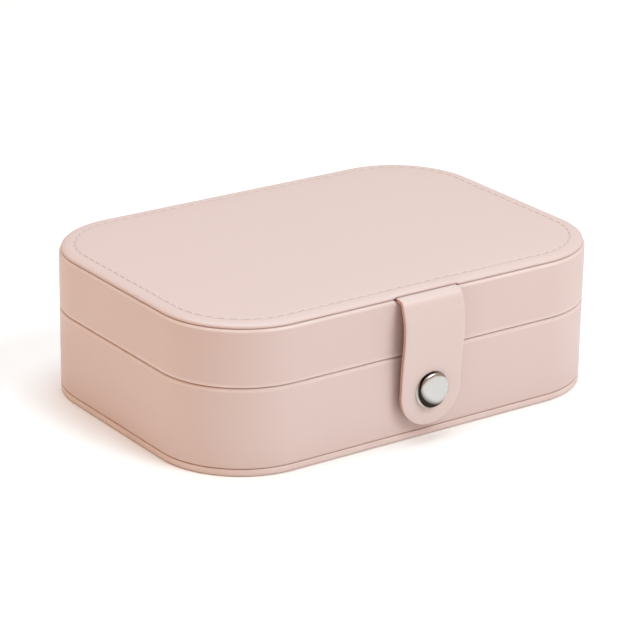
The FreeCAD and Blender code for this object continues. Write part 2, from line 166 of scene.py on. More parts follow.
def soft_light(name, place, aim, size, power, colour):
    bpy.ops.object.light_add(type="AREA", location=place)
    lamp = bpy.context.object
    lamp.name = name
    lamp.data.shape = "DISK"
    lamp.data.size = size
    lamp.data.energy = power
    lamp.data.color = colour
    lamp.rotation_euler = (Vector(aim) - Vector(place)).to_track_quat("-Z", "Y").to_euler()


make_floor()
room = bpy.data.worlds.new("room")
room.use_nodes = True
glow = room.node_tree.nodes["Background"]
glow.inputs["Color"].default_value = ROOM_COLOUR
glow.inputs["Strength"].default_value = ROOM_LIGHT
bpy.context.scene.world = room
for lamp_values in LAMPS:
    soft_light(*lamp_values)
bpy.context.scene.view_settings.view_transform = "Standard"

# %% [markdown]
# ## Shaders that several finishes share
# Grain, tone and weave turn up in more than one finish, so each is a node group, made once. A group's
# inputs are the few numbers that differ from one finish to the next. All but the needle dimples read
# Object coordinates: every piece's origin is the case's origin, so a pattern runs on from piece to piece.

# %% Node helpers
def new_group(name, inputs, outputs):
    """A shader node group. Inputs are (name, type, default) and outputs (name, type)."""
    group = bpy.data.node_groups.new(name, "ShaderNodeTree")
    for label, kind, value in inputs:
        socket = group.interface.new_socket(name=label, in_out="INPUT", socket_type="NodeSocket" + kind)
        socket.default_value = value
    for label, kind in outputs:
        group.interface.new_socket(name=label, in_out="OUTPUT", socket_type="NodeSocket" + kind)
    return group, group.nodes.new("NodeGroupInput"), group.nodes.new("NodeGroupOutput")


def feed(tree, socket, value):
    """Links a socket to another socket's output, or sets it to a plain value."""
    if isinstance(value, bpy.types.NodeSocket):
        tree.links.new(value, socket)
    elif value is not None:
        socket.default_value = value


def give(group, result, **outputs):
    """Feeds the outputs of a group."""
    for label, value in outputs.items():
        group.links.new(value, result.inputs[label])


def add(tree, kind, settings=None, **links):
    """Adds a node; links are socket values or the sockets that feed them (spaces as underscores)."""
    node = tree.nodes.new("ShaderNode" + kind)
    for key, value in (settings or {}).items():
        setattr(node, key, value)
    for label, value in links.items():
        feed(tree, next(s for s in node.inputs if s.name.replace(" ", "_") == label and s.enabled), value)
    return node


def calc(tree, operation, first, second=None, third=None):
    """One step of arithmetic on sockets or numbers."""
    node = tree.nodes.new("ShaderNodeMath")
    node.operation = operation
    for socket, value in zip(node.inputs, (first, second, third)):
        feed(tree, socket, value)
    return node.outputs[0]


def blend_colours(tree, share, first, second):
    node = tree.nodes.new("ShaderNodeMix")
    node.data_type = "RGBA"
    for index, value in ((0, share), (6, first), (7, second)):      # its factor, and its two colours
        feed(tree, node.inputs[index], value)
    return node.outputs[2]


def object_place(tree, stretch=(1, 1, 1)):
    place = add(tree, "TexCoord").outputs["Object"]
    return add(tree, "Mapping", Vector=place, Scale=stretch).outputs["Vector"]


print("node helpers ready")

# %% [markdown]
# Imitation leather is pressed with a fine pebble grain: small rounded cells with narrow valleys, a little
# uneven in height. Rounded Voronoi cells give the pebbles and a slow noise makes some stand higher.

# %% Shader group: leather grain
def make_grain_group():
    group, given, result = new_group("leather_grain", [("Cells per metre", "Float", 2200)],
                                     [("Height", "Float"), ("Valley", "Float")])
    place = object_place(group)
    cells = given.outputs["Cells per metre"]
    pebble = add(group, "TexVoronoi", {"feature": "SMOOTH_F1"}, Vector=place, Scale=cells, Smoothness=0.6)
    drift = add(group, "TexNoise", Vector=place, Scale=calc(group, "MULTIPLY", cells, 0.22), Detail=3.0)
    rounded = calc(group, "SUBTRACT", 1.0, pebble.outputs["Distance"])
    raised = calc(group, "MULTIPLY_ADD", drift.outputs["Fac"], 0.6, rounded)
    give(group, result, Height=raised, Valley=calc(group, "SMOOTH_MIN", pebble.outputs["Distance"], 1.0, 0.2))
    return group


leather_grain = make_grain_group()
print("group:", leather_grain.name)

# %% [markdown]
# No dyed surface is one flat colour. This group drifts a colour slightly lighter and darker in broad
# clouds and again in small flecks, and can warm the darker parts.

# %% Shader group: uneven tone
def make_tone_group():
    group, given, result = new_group(
        "uneven_tone",
        [("Color", "Color", (0.8, 0.8, 0.8, 1)), ("Shade", "Color", (0.7, 0.6, 0.6, 1)),
         ("Cloud size", "Float", 0.03), ("Amount", "Float", 0.3), ("Flecks", "Float", 0.1)],
        [("Color", "Color"), ("Cloud", "Float")])
    place = object_place(group)
    size = given.outputs["Cloud size"]
    broad = add(group, "TexNoise", Vector=place, Scale=calc(group, "DIVIDE", 1.0, size),
                Detail=3.0, Roughness=0.5)
    fine = add(group, "TexNoise", Vector=place, Scale=calc(group, "DIVIDE", 60.0, size), Detail=2.0)
    cloud = calc(group, "MULTIPLY", broad.outputs["Fac"], given.outputs["Amount"])
    fleck = calc(group, "MULTIPLY", fine.outputs["Fac"], given.outputs["Flecks"])
    share = calc(group, "ADD", cloud, fleck)
    toned = blend_colours(group, share, given.outputs["Color"], given.outputs["Shade"])
    give(group, result, Color=toned, Cloud=broad.outputs["Fac"])
    return group


uneven_tone = make_tone_group()
print("group:", uneven_tone.name)

# %% [markdown]
# Along the turned edges a lighter band is painted on as a highlight, and in the creases beside them a
# darker line is painted on as shade. The group marks a narrow band round one height, as a full mask and
# as one broken up by noise. Height is measured along any line, so the same group finds the neck of the
# press stud, which points forwards, where shade is painted too.

# %% Shader group: band round a height
def make_rim_group():
    group, given, result = new_group(
        "band_at_height",
        [("Height", "Float", 0.03), ("Reach", "Float", 0.001), ("Upwards", "Vector", (0, 0, 1))],
        [("Band", "Float"), ("Patchy", "Float")])
    place = object_place(group)
    measure = add(group, "VectorMath", {"operation": "DOT_PRODUCT"})
    group.links.new(place, measure.inputs[0])
    group.links.new(given.outputs["Upwards"], measure.inputs[1])
    level = measure.outputs["Value"]
    away = calc(group, "ABSOLUTE", calc(group, "SUBTRACT", level, given.outputs["Height"]))
    near = add(group, "MapRange", {"interpolation_type": "SMOOTHSTEP"}, Value=away, From_Min=0.0,
               From_Max=given.outputs["Reach"], To_Min=1.0, To_Max=0.0)
    patches = add(group, "TexNoise", Vector=place, Scale=90.0, Detail=4.0)
    broken = calc(group, "MULTIPLY", near.outputs["Result"], patches.outputs["Fac"])
    give(group, result, Band=near.outputs["Result"], Patchy=broken)
    return group


band_at_height = make_rim_group()
print("group:", band_at_height.name)

# %% [markdown]
# Where the padded panel is sewn, each needle hole pulls the leather into a small dimple. The panel
# carries a map that counts stitches along the seam and gives the distance from the edge across it, so
# the dimples are round spots that repeat once a stitch.

# %% Shader group: needle dimples
def make_dimple_group():
    group, given, result = new_group(
        "needle_dimples",
        [("Seam inset", "Float", 4.6), ("Pitch", "Float", 3.85), ("Radius", "Float", 0.9)],
        [("Depth", "Float")])
    seam = add(group, "UVMap", {"uv_map": "seam"}).outputs["UV"]
    parts = add(group, "SeparateXYZ", Vector=seam)
    turned = calc(group, "FRACT", calc(group, "ADD", parts.outputs["X"], 0.5))
    from_hole = calc(group, "SUBTRACT", turned, 0.5)
    along = calc(group, "MULTIPLY", from_hole, given.outputs["Pitch"])
    across = calc(group, "SUBTRACT", parts.outputs["Y"], given.outputs["Seam inset"])
    across_square = calc(group, "MULTIPLY", across, across)
    square = calc(group, "ADD", calc(group, "MULTIPLY", along, along), across_square)
    share = calc(group, "DIVIDE", calc(group, "SQRT", square), given.outputs["Radius"])
    dip = add(group, "MapRange", {"interpolation_type": "SMOOTHERSTEP"}, Value=share,
              From_Min=0.0, From_Max=1.0, To_Min=1.0, To_Max=0.0)
    give(group, result, Depth=dip.outputs["Result"])
    return group


needle_dimples = make_dimple_group()
print("group:", needle_dimples.name)

# %% [markdown]
# Velvet's short pile leans this way and that. Broad noise gives the brushed patches, and a very fine
# noise the tips of the pile. The sheen that makes it velvet is the shader's own, set per finish.

# %% Shader group: velvet pile
def make_pile_group():
    group, given, result = new_group(
        "velvet_pile", [("Color", "Color", (0.8, 0.7, 0.7, 1)), ("Deep", "Color", (0.6, 0.4, 0.4, 1))],
        [("Color", "Color"), ("Height", "Float")])
    place = object_place(group)
    brushed = object_place(group, (1, 1.6, 1))
    tips = add(group, "TexNoise", Vector=place, Scale=3600.0, Detail=2.0)
    nap = add(group, "TexNoise", Vector=brushed, Scale=75.0, Detail=5.0, Roughness=0.6)
    lean = add(group, "MapRange", Value=nap.outputs["Fac"],
               From_Min=0.35, From_Max=0.65, To_Min=0.0, To_Max=0.55)
    depth = calc(group, "MULTIPLY_ADD", tips.outputs["Fac"], 0.45, lean.outputs["Result"])
    piled = blend_colours(group, depth, given.outputs["Color"], given.outputs["Deep"])
    give(group, result, Color=piled, Height=tips.outputs["Fac"])
    return group


velvet_pile = make_pile_group()
print("group:", velvet_pile.name)

# %% [markdown]
# Ribbon, elastic and thread are woven or twisted. Crossed waves stand for warp and weft, and a slanted
# wave alone looks like the plies of a thread.

# %% Shader group: weave
def make_weave_group():
    group, given, result = new_group(
        "weave", [("Threads per metre", "Float", 2500), ("Slant", "Vector", (0, 0, 0))],
        [("Height", "Float")])
    place = add(group, "TexCoord").outputs["Object"]
    turned = add(group, "Mapping", Vector=place, Rotation=given.outputs["Slant"]).outputs["Vector"]
    rate = calc(group, "MULTIPLY", given.outputs["Threads per metre"], 0.32)
    waves = [add(group, "TexWave", {"bands_direction": axis}, Vector=turned, Scale=rate) for axis in "XZY"]
    warp, weft, fold = (wave.outputs["Fac"] for wave in waves)
    give(group, result, Height=calc(group, "ADD", calc(group, "ADD", warp, weft), fold))
    return group


weave = make_weave_group()
print("group:", weave.name)

# %% [markdown]
# Plated metal carries hair-fine polishing lines and a few soft smudges. Noise stretched hard along one
# direction gives the lines.

# %% Shader group: polishing lines
def make_polish_group():
    group, given, result = new_group("polishing_lines", [("Lines per metre", "Float", 5000)],
                                     [("Height", "Float"), ("Smudge", "Float")])
    drawn_out = object_place(group, (0.03, 1, 1))
    rate = given.outputs["Lines per metre"]
    lines = add(group, "TexNoise", Vector=drawn_out, Scale=rate, Detail=2.0)
    smudge = add(group, "TexNoise", Vector=object_place(group), Scale=260.0, Detail=4.0)
    give(group, result, Height=lines.outputs["Fac"], Smudge=smudge.outputs["Fac"])
    return group


polishing_lines = make_polish_group()
print("group:", polishing_lines.name)

# %% [markdown]
# ## Finishes
# Each finish is one Principled shader fed by the groups above. Numbers that are the same all over, such
# as a sheen, sit on the shader itself.

# %% Finish helpers
def new_finish(name, **constants):
    paint = bpy.data.materials.new(name)
    paint.use_nodes = True
    shader = paint.node_tree.nodes["Principled BSDF"]
    for label, value in constants.items():
        shader.inputs[label.replace("_", " ")].default_value = value
    return paint, paint.node_tree, shader


def use_group(tree, group, **inputs):
    node = tree.nodes.new("ShaderNodeGroup")
    node.node_tree = group
    for label, value in inputs.items():
        feed(tree, node.inputs[label.replace("_", " ")], value)
    return node


def raise_surface(tree, shader, height, distance, strength=1.0):
    """Feeds a height, in a group's own units, to the shader's normal; distance is what 1 stands for."""
    bump = add(tree, "Bump", Height=height, Distance=distance, Strength=strength)
    tree.links.new(bump.outputs["Normal"], shader.inputs["Normal"])
    return bump


def roughness_from(tree, shader, mask, low, high):
    spread = add(tree, "MapRange", Value=mask, From_Min=0.3, From_Max=0.7, To_Min=low, To_Max=high)
    tree.links.new(spread.outputs["Result"], shader.inputs["Roughness"])


print("finish helpers ready")

# %% [markdown]
# The leather is a blush polyurethane skin with a satin coat: pale, even, slightly warmer where it is in
# shade, with a grain that shows only up close. The rims get lighter bands painted on as highlights, and
# the creases beside them darker lines painted on as shade.

# %% Finish: leathers
BLUSH = (0.60, 0.475, 0.445, 1)
BLUSH_SHADE = (0.575, 0.44, 0.405, 1)
# lighter colour painted along the turned edges as a highlight
BLUSH_PAINTED_HIGHLIGHT = (0.70, 0.58, 0.545, 1)
STRAP_BLUSH = (0.61, 0.495, 0.465, 1)
STRAP_EDGE = (0.66, 0.45, 0.40, 1)
STRAP_EDGE_SHADE = (0.60, 0.36, 0.31, 1)
STRAP_BACK_ROSE = (0.43, 0.18, 0.145, 1)
STRAP_BACK_SHADE = (0.38, 0.14, 0.11, 1)
# darker colour painted into the creases as shade
CREASE_PAINTED_SHADE = (0.42, 0.22, 0.17, 1)
SEAM_INSET = 4.6 * MM
SEAM_PITCH = 3.85 * MM
DIMPLE_DEPTH = 0.22 * MM
DIMPLE_RADIUS = 1.05        # mm, as the seam map counts
# width and inset of the highlight bands painted along the turned edges
HIGHLIGHT_REACH = 0.9 * MM
HIGHLIGHT_INSET = 0.5 * MM
SPLIT_HIGHLIGHT_INSET = 0.6 * MM


def make_leather(name, colour, shade, cells, depth, rough, rims=(), creases=(), sewn=False):
    paint, tree, shader = new_finish(name, Specular_IOR_Level=0.42)
    toned = use_group(tree, uneven_tone, Color=colour, Shade=shade,
                      Cloud_size=0.045, Amount=0.45, Flecks=0.15)
    grain = use_group(tree, leather_grain, Cells_per_metre=cells)
    colour_now = toned.outputs["Color"]
    # each turned edge gets a lighter band painted on as a highlight, broken up by noise
    for height in rims:
        rim = use_group(tree, band_at_height, Height=height, Reach=HIGHLIGHT_REACH)
        colour_now = blend_colours(tree, rim.outputs["Patchy"], colour_now, BLUSH_PAINTED_HIGHLIGHT)
    # each crease gets a darker line painted on as shade
    for height, reach in creases:
        crease = use_group(tree, band_at_height, Height=height, Reach=reach)
        colour_now = blend_colours(tree, crease.outputs["Band"], colour_now, CREASE_PAINTED_SHADE)
    tree.links.new(colour_now, shader.inputs["Base Color"])
    roughness_from(tree, shader, toned.outputs["Cloud"], rough - 0.03, rough + 0.03)
    grained = raise_surface(tree, shader, grain.outputs["Height"], depth)
    if sewn:
        dimples = use_group(tree, needle_dimples, Seam_inset=SEAM_INSET / MM, Pitch=SEAM_PITCH / MM,
                            Radius=DIMPLE_RADIUS)
        pulled = add(tree, "Bump", {"invert": True}, Height=dimples.outputs["Depth"],
                     Distance=DIMPLE_DEPTH, Normal=grained.outputs["Normal"])
        tree.links.new(pulled.outputs["Normal"], shader.inputs["Normal"])
    return paint


# heights of the turned edges where highlight bands are painted
rims = (plate_high.z / 2, plate_high.z - HIGHLIGHT_INSET, case_high.z - SPLIT_HIGHLIGHT_INSET,
        lid_low.z + SPLIT_HIGHLIGHT_INSET, lid_high.z - HIGHLIGHT_INSET)
# heights and widths of the creases where shade is painted
creases = ((plate_high.z, 0.24 * MM), (lid_high.z, 0.10 * MM))
case_leather = make_leather("case_leather", BLUSH, BLUSH_SHADE, 2400, 0.012 * MM, 0.46, rims, creases)
# the crease under the panel's edge gets painted shade too
panel_leather = make_leather("panel_leather", BLUSH, BLUSH_SHADE, 2400, 0.012 * MM, 0.44,
                             creases=((panel_low.z, 0.14 * MM),), sewn=True)
strap_leather = make_leather("strap_leather", STRAP_BLUSH, BLUSH_SHADE, 2600, 0.010 * MM, 0.44)
strap_back_leather = make_leather("strap_back_leather", STRAP_BACK_ROSE, STRAP_BACK_SHADE, 1900,
                                  0.016 * MM, 0.60)
painted_edge = make_leather("painted_edge", STRAP_EDGE, STRAP_EDGE_SHADE, 1500, 0.010 * MM, 0.50)
leathers = (case_leather, panel_leather, strap_leather, strap_back_leather, painted_edge)
print("leathers:", [paint.name for paint in leathers])

# %% [markdown]
# Inside, everything is lined with a short velvet in a paler blush. Its edges glow where the pile is seen
# side-on, which is the sheen. The rolls' velvet is a touch lighter than the linings'.

# %% Finish: velvets
SHEEN_TINT = (1.0, 0.93, 0.90, 1)
PILE_HEIGHT = 0.10 * MM


def make_velvet(name, colour, deep, sheen):
    paint, tree, shader = new_finish(name, Roughness=0.95, Sheen_Weight=sheen, Sheen_Roughness=0.35,
                                     Specular_IOR_Level=0.15)
    shader.inputs["Sheen Tint"].default_value = SHEEN_TINT
    pile = use_group(tree, velvet_pile, Color=colour, Deep=deep)
    tree.links.new(pile.outputs["Color"], shader.inputs["Base Color"])
    raise_surface(tree, shader, pile.outputs["Height"], PILE_HEIGHT, strength=0.7)
    return paint


lining_velvet = make_velvet("lining_velvet", (0.58, 0.46, 0.43, 1), (0.46, 0.33, 0.30, 1), 0.30)
roll_velvet = make_velvet("roll_velvet", (0.62, 0.51, 0.48, 1), (0.50, 0.38, 0.35, 1), 0.35)
print("velvets:", lining_velvet.name, roll_velvet.name)

# %% [markdown]
# The press stud's cap is satin nickel, the working parts and hooks are plated brighter. Shade is painted
# dark round the cap's neck, and on the lower left it reaches up to the rim as a painted dark reflection:
# that is a band on a slightly tilted line.

# %% Finish: metals
# dark colour painted round the cap's neck as shade, and up the lower left of its rim as a dark reflection
CAP_PAINTED_SHADE = (0.030, 0.020, 0.014, 1)
CAP_SHADE_STRENGTH = 1.5
CAP_RISE = 2.15 * MM
NECK_LINE = 0.85 * MM       # how far out from the leather the painted shade is darkest
NECK_REACH = 0.85 * MM


def make_metal(name, colour, rough_low, rough_high, depth, neck=None):
    paint, tree, shader = new_finish(name, Metallic=1.0)
    polish = use_group(tree, polishing_lines, Lines_per_metre=5200)
    toned = use_group(tree, uneven_tone, Color=colour, Shade=[0.86 * c for c in colour[:3]] + [1],
                      Cloud_size=0.006, Amount=0.35, Flecks=0.05)
    colour_now = toned.outputs["Color"]
    if neck:
        # painted shade round the neck, reaching the rim on the lower left as a painted dark reflection
        painted_shade_band = use_group(tree, band_at_height, Height=neck[0], Reach=neck[1], Upwards=neck[2])
        shade_share = calc(tree, "MULTIPLY", painted_shade_band.outputs["Band"], CAP_SHADE_STRENGTH)
        colour_now = blend_colours(tree, shade_share, colour_now, CAP_PAINTED_SHADE)
    tree.links.new(colour_now, shader.inputs["Base Color"])
    roughness_from(tree, shader, polish.outputs["Smudge"], rough_low, rough_high)
    raise_surface(tree, shader, polish.outputs["Height"], depth)
    return paint


snap_low, snap_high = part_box("snap_cap")
snap_height = (snap_low.z + snap_high.z) / 2
cap_radius = (snap_high.x - snap_low.x) / 2
# the tilt of this line carries the painted shade up the rim on the lower left
cap_shade_axis = Vector((0.09, -1, 0.135)).normalized()
neck_middle = Vector((0, snap_low.y + CAP_RISE - NECK_LINE, snap_height))
neck = (neck_middle.dot(cap_shade_axis), NECK_REACH, cap_shade_axis)
satin_nickel = make_metal("satin_nickel", (0.54, 0.52, 0.50, 1), 0.20, 0.28, 0.0005 * MM, neck)
bright_nickel = make_metal("bright_nickel", (0.52, 0.50, 0.48, 1), 0.10, 0.18, 0.0004 * MM)
print("metals:", satin_nickel.name, bright_nickel.name)

# %% [markdown]
# Thread and ribbon share the weave, and the boards and foam are plain packing materials with a fleck in
# them.

# %% Finish: threads, boards and foam
PACKING_GRAIN = 0.05 * MM


def make_cloth(name, colour, shade, threads, slant, depth):
    paint, tree, shader = new_finish(name, Roughness=0.62, Sheen_Weight=0.2)
    toned = use_group(tree, uneven_tone, Color=colour, Shade=shade, Cloud_size=0.01, Amount=0.3, Flecks=0.3)
    woven = use_group(tree, weave, Threads_per_metre=threads, Slant=slant)
    tree.links.new(toned.outputs["Color"], shader.inputs["Base Color"])
    raise_surface(tree, shader, woven.outputs["Height"], depth)
    return paint


def make_packing(name, colour, shade, cells):
    paint, tree, shader = new_finish(name, Roughness=0.9)
    toned = use_group(tree, uneven_tone, Color=colour, Shade=shade, Cloud_size=0.02, Amount=0.4, Flecks=0.6)
    grain = use_group(tree, leather_grain, Cells_per_metre=cells)
    tree.links.new(toned.outputs["Color"], shader.inputs["Base Color"])
    raise_surface(tree, shader, grain.outputs["Valley"], PACKING_GRAIN)
    return paint


thread = make_cloth("thread", (0.59, 0.46, 0.43, 1), (0.53, 0.38, 0.34, 1), 5200, (0, 0.6, 0.5), 0.03 * MM)
ribbon = make_cloth("ribbon", (0.57, 0.44, 0.41, 1), (0.50, 0.36, 0.32, 1), 3200, (0, 0, 0), 0.03 * MM)
grey_board = make_packing("grey_board", (0.30, 0.27, 0.23, 1), (0.22, 0.20, 0.17, 1), 1400)
foam = make_packing("foam", (0.66, 0.65, 0.60, 1), (0.60, 0.58, 0.52, 1), 1100)
print("threads and packing:", [paint.name for paint in (thread, ribbon, grey_board, foam)])

# %% [markdown]
# ## Modelling helpers
# The pieces are modelled as by hand: a primitive is put in place, faces or edges are picked by where
# they are, and an operator works on what is picked. Short helpers do the picking.

# %% Modelling helpers
CORNER_STEPS = 22
TINY = 0.004 * MM


def deselect():
    if bpy.context.object and bpy.context.object.mode != "OBJECT":
        bpy.ops.object.mode_set(mode="OBJECT")
    bpy.ops.object.select_all(action="DESELECT")


def make_active(piece):
    deselect()
    piece.select_set(True)
    bpy.context.view_layer.objects.active = piece


def start_block(name, low, high):
    """A box between two corners, ready to be shaped."""
    deselect()
    low, high = Vector(low), Vector(high)
    bpy.ops.mesh.primitive_cube_add(size=1, location=(low + high) / 2, scale=high - low)
    piece = bpy.context.object
    piece.name = name
    piece.data.name = name
    bpy.ops.object.transform_apply(location=True, rotation=True, scale=True)
    return piece


def edit(piece, mode="EDGE"):
    make_active(piece)
    bpy.ops.object.mode_set(mode="EDIT")
    bpy.ops.mesh.select_mode(type=mode)
    bpy.ops.mesh.select_all(action="DESELECT")


def pick(piece, kind, test):
    """Selects, in edit mode, just the faces, edges or verts that pass the test."""
    mesh = bmesh.from_edit_mesh(piece.data)
    chosen = [item for item in getattr(mesh, kind) if test(item)]
    bpy.ops.mesh.select_all(action="DESELECT")
    for item in chosen:
        item.select_set(True)
    mesh.select_flush_mode()
    bmesh.update_edit_mesh(piece.data)


def upright(edge):
    one, two = edge.verts[0].co, edge.verts[1].co
    return abs(one.z - two.z) > TINY and (one - two).xy.length < TINY


def level_at(height):
    return lambda edge: all(abs(v.co.z - height) < TINY for v in edge.verts)


def level_face(face):
    return abs(face.normal.z) > 0.99


def cut_at(piece, point, normal):
    """Puts a loop of edges round a piece where a plane crosses it."""
    bpy.ops.mesh.select_all(action="SELECT")
    bpy.ops.mesh.bisect(plane_co=point, plane_no=normal)


print("picking and cutting helpers ready")

# %% [markdown]
# A skin gets its thickness from a modifier that is applied at once, so every piece ends as a plain mesh.
# Dressing a piece gives it its finish, and says which body carries it and which frame nodes it stands for.

# %% Helpers that finish a piece
def turn_outwards():
    """Makes all the normals of the piece that is being edited point out."""
    bpy.ops.mesh.select_all(action="SELECT")
    bpy.ops.mesh.normals_make_consistent(inside=False)


def apply_modifier(piece, kind, **settings):
    make_active(piece)
    modifier = piece.modifiers.new(kind.lower(), kind)
    for key, value in settings.items():
        setattr(modifier, key, value)
    bpy.ops.object.modifier_apply(modifier=modifier.name)


def thicken(piece, thickness, offset=-1):
    """Ends the editing of an open skin and gives it its thickness, inwards unless offset is 0."""
    apply_modifier(piece, "SOLIDIFY", thickness=thickness, offset=offset, use_even_offset=True)


def smooth(piece, degrees=40):
    make_active(piece)
    bpy.ops.object.shade_smooth_by_angle(angle=math.radians(degrees))


def dress(piece, body, finish, slot, *nodes):
    """Gives a finished piece its finish, the body it rides on and the frame nodes it stands for."""
    piece.data.materials.clear()
    for paint in finish if isinstance(finish, list) else [finish]:
        piece.data.materials.append(paint)
    if body:
        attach(piece, body)
    if nodes:
        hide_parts(*nodes)
    print("%s: %d faces" % (piece.name, len(piece.data.polygons)))


print("finishing helpers ready")

# %% [markdown]
# ## The wrapped walls and the bottom plate
# A wall's leather is one long band glued round the board and turned over both rims. The band starts as a
# block, its four upright edges are rounded to the plan corners, and its rims are rounded over. Picking
# and deleting the middle of the two end faces leaves a C-shaped skin, which is then given the leather's
# thickness inwards. Support loops beside the rims keep the shading flat on the tall faces.

# %% Leather band of the base
LEATHER = 0.7 * MM
TURN_IN = 2.65 * MM
RIM_STEPS = 5
SUPPORT = 0.35 * MM


def leather_band(name, node, top_round, foot_round, swell_down=0.0, swell_up=0.0):
    low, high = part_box(node)
    low.z -= swell_down
    high.z += swell_up
    piece = start_block(name, low, high)
    edit(piece)
    pick(piece, "edges", upright)
    bpy.ops.mesh.bevel(offset=case_radius, segments=CORNER_STEPS, affect="EDGES")
    for height, rounding in ((high.z, top_round), (low.z, foot_round)):
        pick(piece, "edges", level_at(height))
        bpy.ops.mesh.bevel(offset=rounding, segments=RIM_STEPS, affect="EDGES")
    cut_at(piece, (0, 0, high.z - top_round - SUPPORT), (0, 0, 1))
    cut_at(piece, (0, 0, low.z + foot_round + SUPPORT), (0, 0, 1))
    return piece


def open_ends(piece, top_round, foot_round):
    """Deletes the middle of both end faces, leaving the turned-in edges."""
    low, high = Vector(piece.bound_box[0]), Vector(piece.bound_box[6])
    bpy.ops.mesh.select_mode(type="FACE")
    for height, rounding in ((high.z, top_round), (low.z, foot_round)):
        pick(piece, "faces", lambda f: level_face(f) and abs(f.calc_center_median().z - height) < TINY)
        bpy.ops.mesh.inset(thickness=TURN_IN - rounding)
        bpy.ops.mesh.delete(type="FACE")


PLATE_ROUND = 0.8 * MM
GROOVE_ROUND = 0.6 * MM
SPLIT_ROUND = 0.85 * MM
SEAT_ROUND = 1.3 * MM
RIM_SWELL = 0.165 * MM      # the soft rims nearly touch

base_band = leather_band("base_leather_band", "base_side_cover", SPLIT_ROUND, GROOVE_ROUND,
                         swell_up=RIM_SWELL)
open_ends(base_band, SPLIT_ROUND, GROOVE_ROUND)
thicken(base_band, LEATHER)
smooth(base_band)
dress(base_band, "base", case_leather, "case_leather", "base_side_cover")

# %% [markdown]
# The strap's tail lies between the lid's band and the top panel, and its thickness presses a shallow
# seat into the band's turned edge. Two cuts beside the strap, and the faces between them moved down,
# make that seat before the band gets its thickness.

# %% Lid band with the strap's seat
strap_low, strap_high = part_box("strap_outer")
SEAT_PLAY = 0.5 * MM
SEAT_SLOPE = 0.5 * MM       # how far the seat's ends run out sideways
SEAT_DEPTH = 0.62 * MM

lid_band = leather_band("lid_leather_band", "lid_side_cover", SEAT_ROUND, SPLIT_ROUND, swell_down=RIM_SWELL)
open_ends(lid_band, SEAT_ROUND, SPLIT_ROUND)
for side in (-1, 1):
    for play in (SEAT_PLAY, SEAT_PLAY + SEAT_SLOPE):
        cut_at(lid_band, (side * (strap_high.x + play), 0, 0), (1, 0, 0))
bpy.ops.mesh.select_mode(type="VERT")
seat_floor = lid_high.z - SEAT_ROUND
pick(lid_band, "verts", lambda v: abs(v.co.x) < strap_high.x + SEAT_PLAY + TINY and v.co.y < 0
     and v.co.z > seat_floor + 0.3 * MM)
bpy.ops.transform.translate(value=(0, 0, -SEAT_DEPTH))
thicken(lid_band, LEATHER)
smooth(lid_band)
dress(lid_band, "lid", case_leather, "case_leather", "lid_side_cover")

# %% [markdown]
# The bottom plate is a board wrapped like a book cover: the same rounded outline, a soft lower edge and
# a tight upper one that makes the groove under the base's wall.

# %% Bottom plate
FOOT_MARGINS = (2 * MM, 6 * MM, 14 * MM)
plate = leather_band("bottom_plate_cover", "base_plate_cover", GROOVE_ROUND, PLATE_ROUND)
bpy.ops.mesh.select_mode(type="FACE")
pick(plate, "faces", lambda f: f.normal.z > 0.99)
bpy.ops.mesh.inset(thickness=TURN_IN)
bpy.ops.mesh.delete(type="FACE")
pick(plate, "faces", lambda f: f.normal.z < -0.99)
for margin in FOOT_MARGINS:
    bpy.ops.mesh.inset(thickness=margin)
thicken(plate, LEATHER)
smooth(plate)
dress(plate, "base", case_leather, "case_leather", "base_plate_cover")

# %% [markdown]
# ## The padded top panel
# Leather over thin foam rounds off in a low quarter ellipse at the edge, dips where the stitches pull it
# down, and swells gently in the middle. Each ring of the pillow is one inset of the top face with a
# rise: the ring's width and rise come from the ellipse, so the list of rings stays a formula.

# %% Padded top panel
PANEL_LIP = 0.55 * MM
TURNED_UNDER = 0.5 * MM
PILLOW_RUN = 3.8 * MM
PILLOW_RISE = 1.17 * MM
PILLOW_STEPS = 9
STITCH_DIP = 0.09 * MM
SEAM_RINGS = ((0.45, -0.3), (0.35, -0.7), (0.35, 0.7), (0.6, 0.5))       # width in mm, share of the dip
SWELL_RINGS = ((2.5, 0.11), (4, 0.09), (6, 0.07), (8, 0.03))             # width and rise in mm
BESIDE_STRAP = (0.2 * MM, 1.2 * MM, 2.4 * MM, 6 * MM)                    # cuts that let the edge bend
PANEL_SKIN = 0.5 * MM
panel_radius = case_radius - (panel_low.x - case_low.x)


def pillow_rings():
    """(width, rise) of each inset, from the panel's edge to its middle."""
    rings = []
    for step in range(PILLOW_STEPS):
        one, two = (math.pi / 2 * (step + k) / PILLOW_STEPS for k in (0, 1))
        width = PILLOW_RUN * (math.cos(one) - math.cos(two))
        rings.append((width, PILLOW_RISE * (math.sin(two) - math.sin(one))))
    rings += [(width * MM, share * STITCH_DIP) for width, share in SEAM_RINGS]
    rings += [(width * MM, rise * MM) for width, rise in SWELL_RINGS]
    return rings


def pillow(name, low, high, radius, shrink, under):
    piece = start_block(name, low, high)
    edit(piece)
    pick(piece, "edges", upright)
    bpy.ops.mesh.bevel(offset=radius, segments=CORNER_STEPS, affect="EDGES")
    pick(piece, "edges", level_at(low.z))
    bpy.ops.mesh.bevel(offset=under, segments=4, affect="EDGES")
    for side in (-1, 1):
        for extra in BESIDE_STRAP:
            cut_at(piece, (side * (strap_high.x + extra), 0, 0), (1, 0, 0))
    bpy.ops.mesh.select_mode(type="FACE")
    pick(piece, "faces", lambda f: f.normal.z > 0.99)
    for width, rise in pillow_rings():
        bpy.ops.mesh.inset(thickness=width, depth=rise * shrink)
    return piece


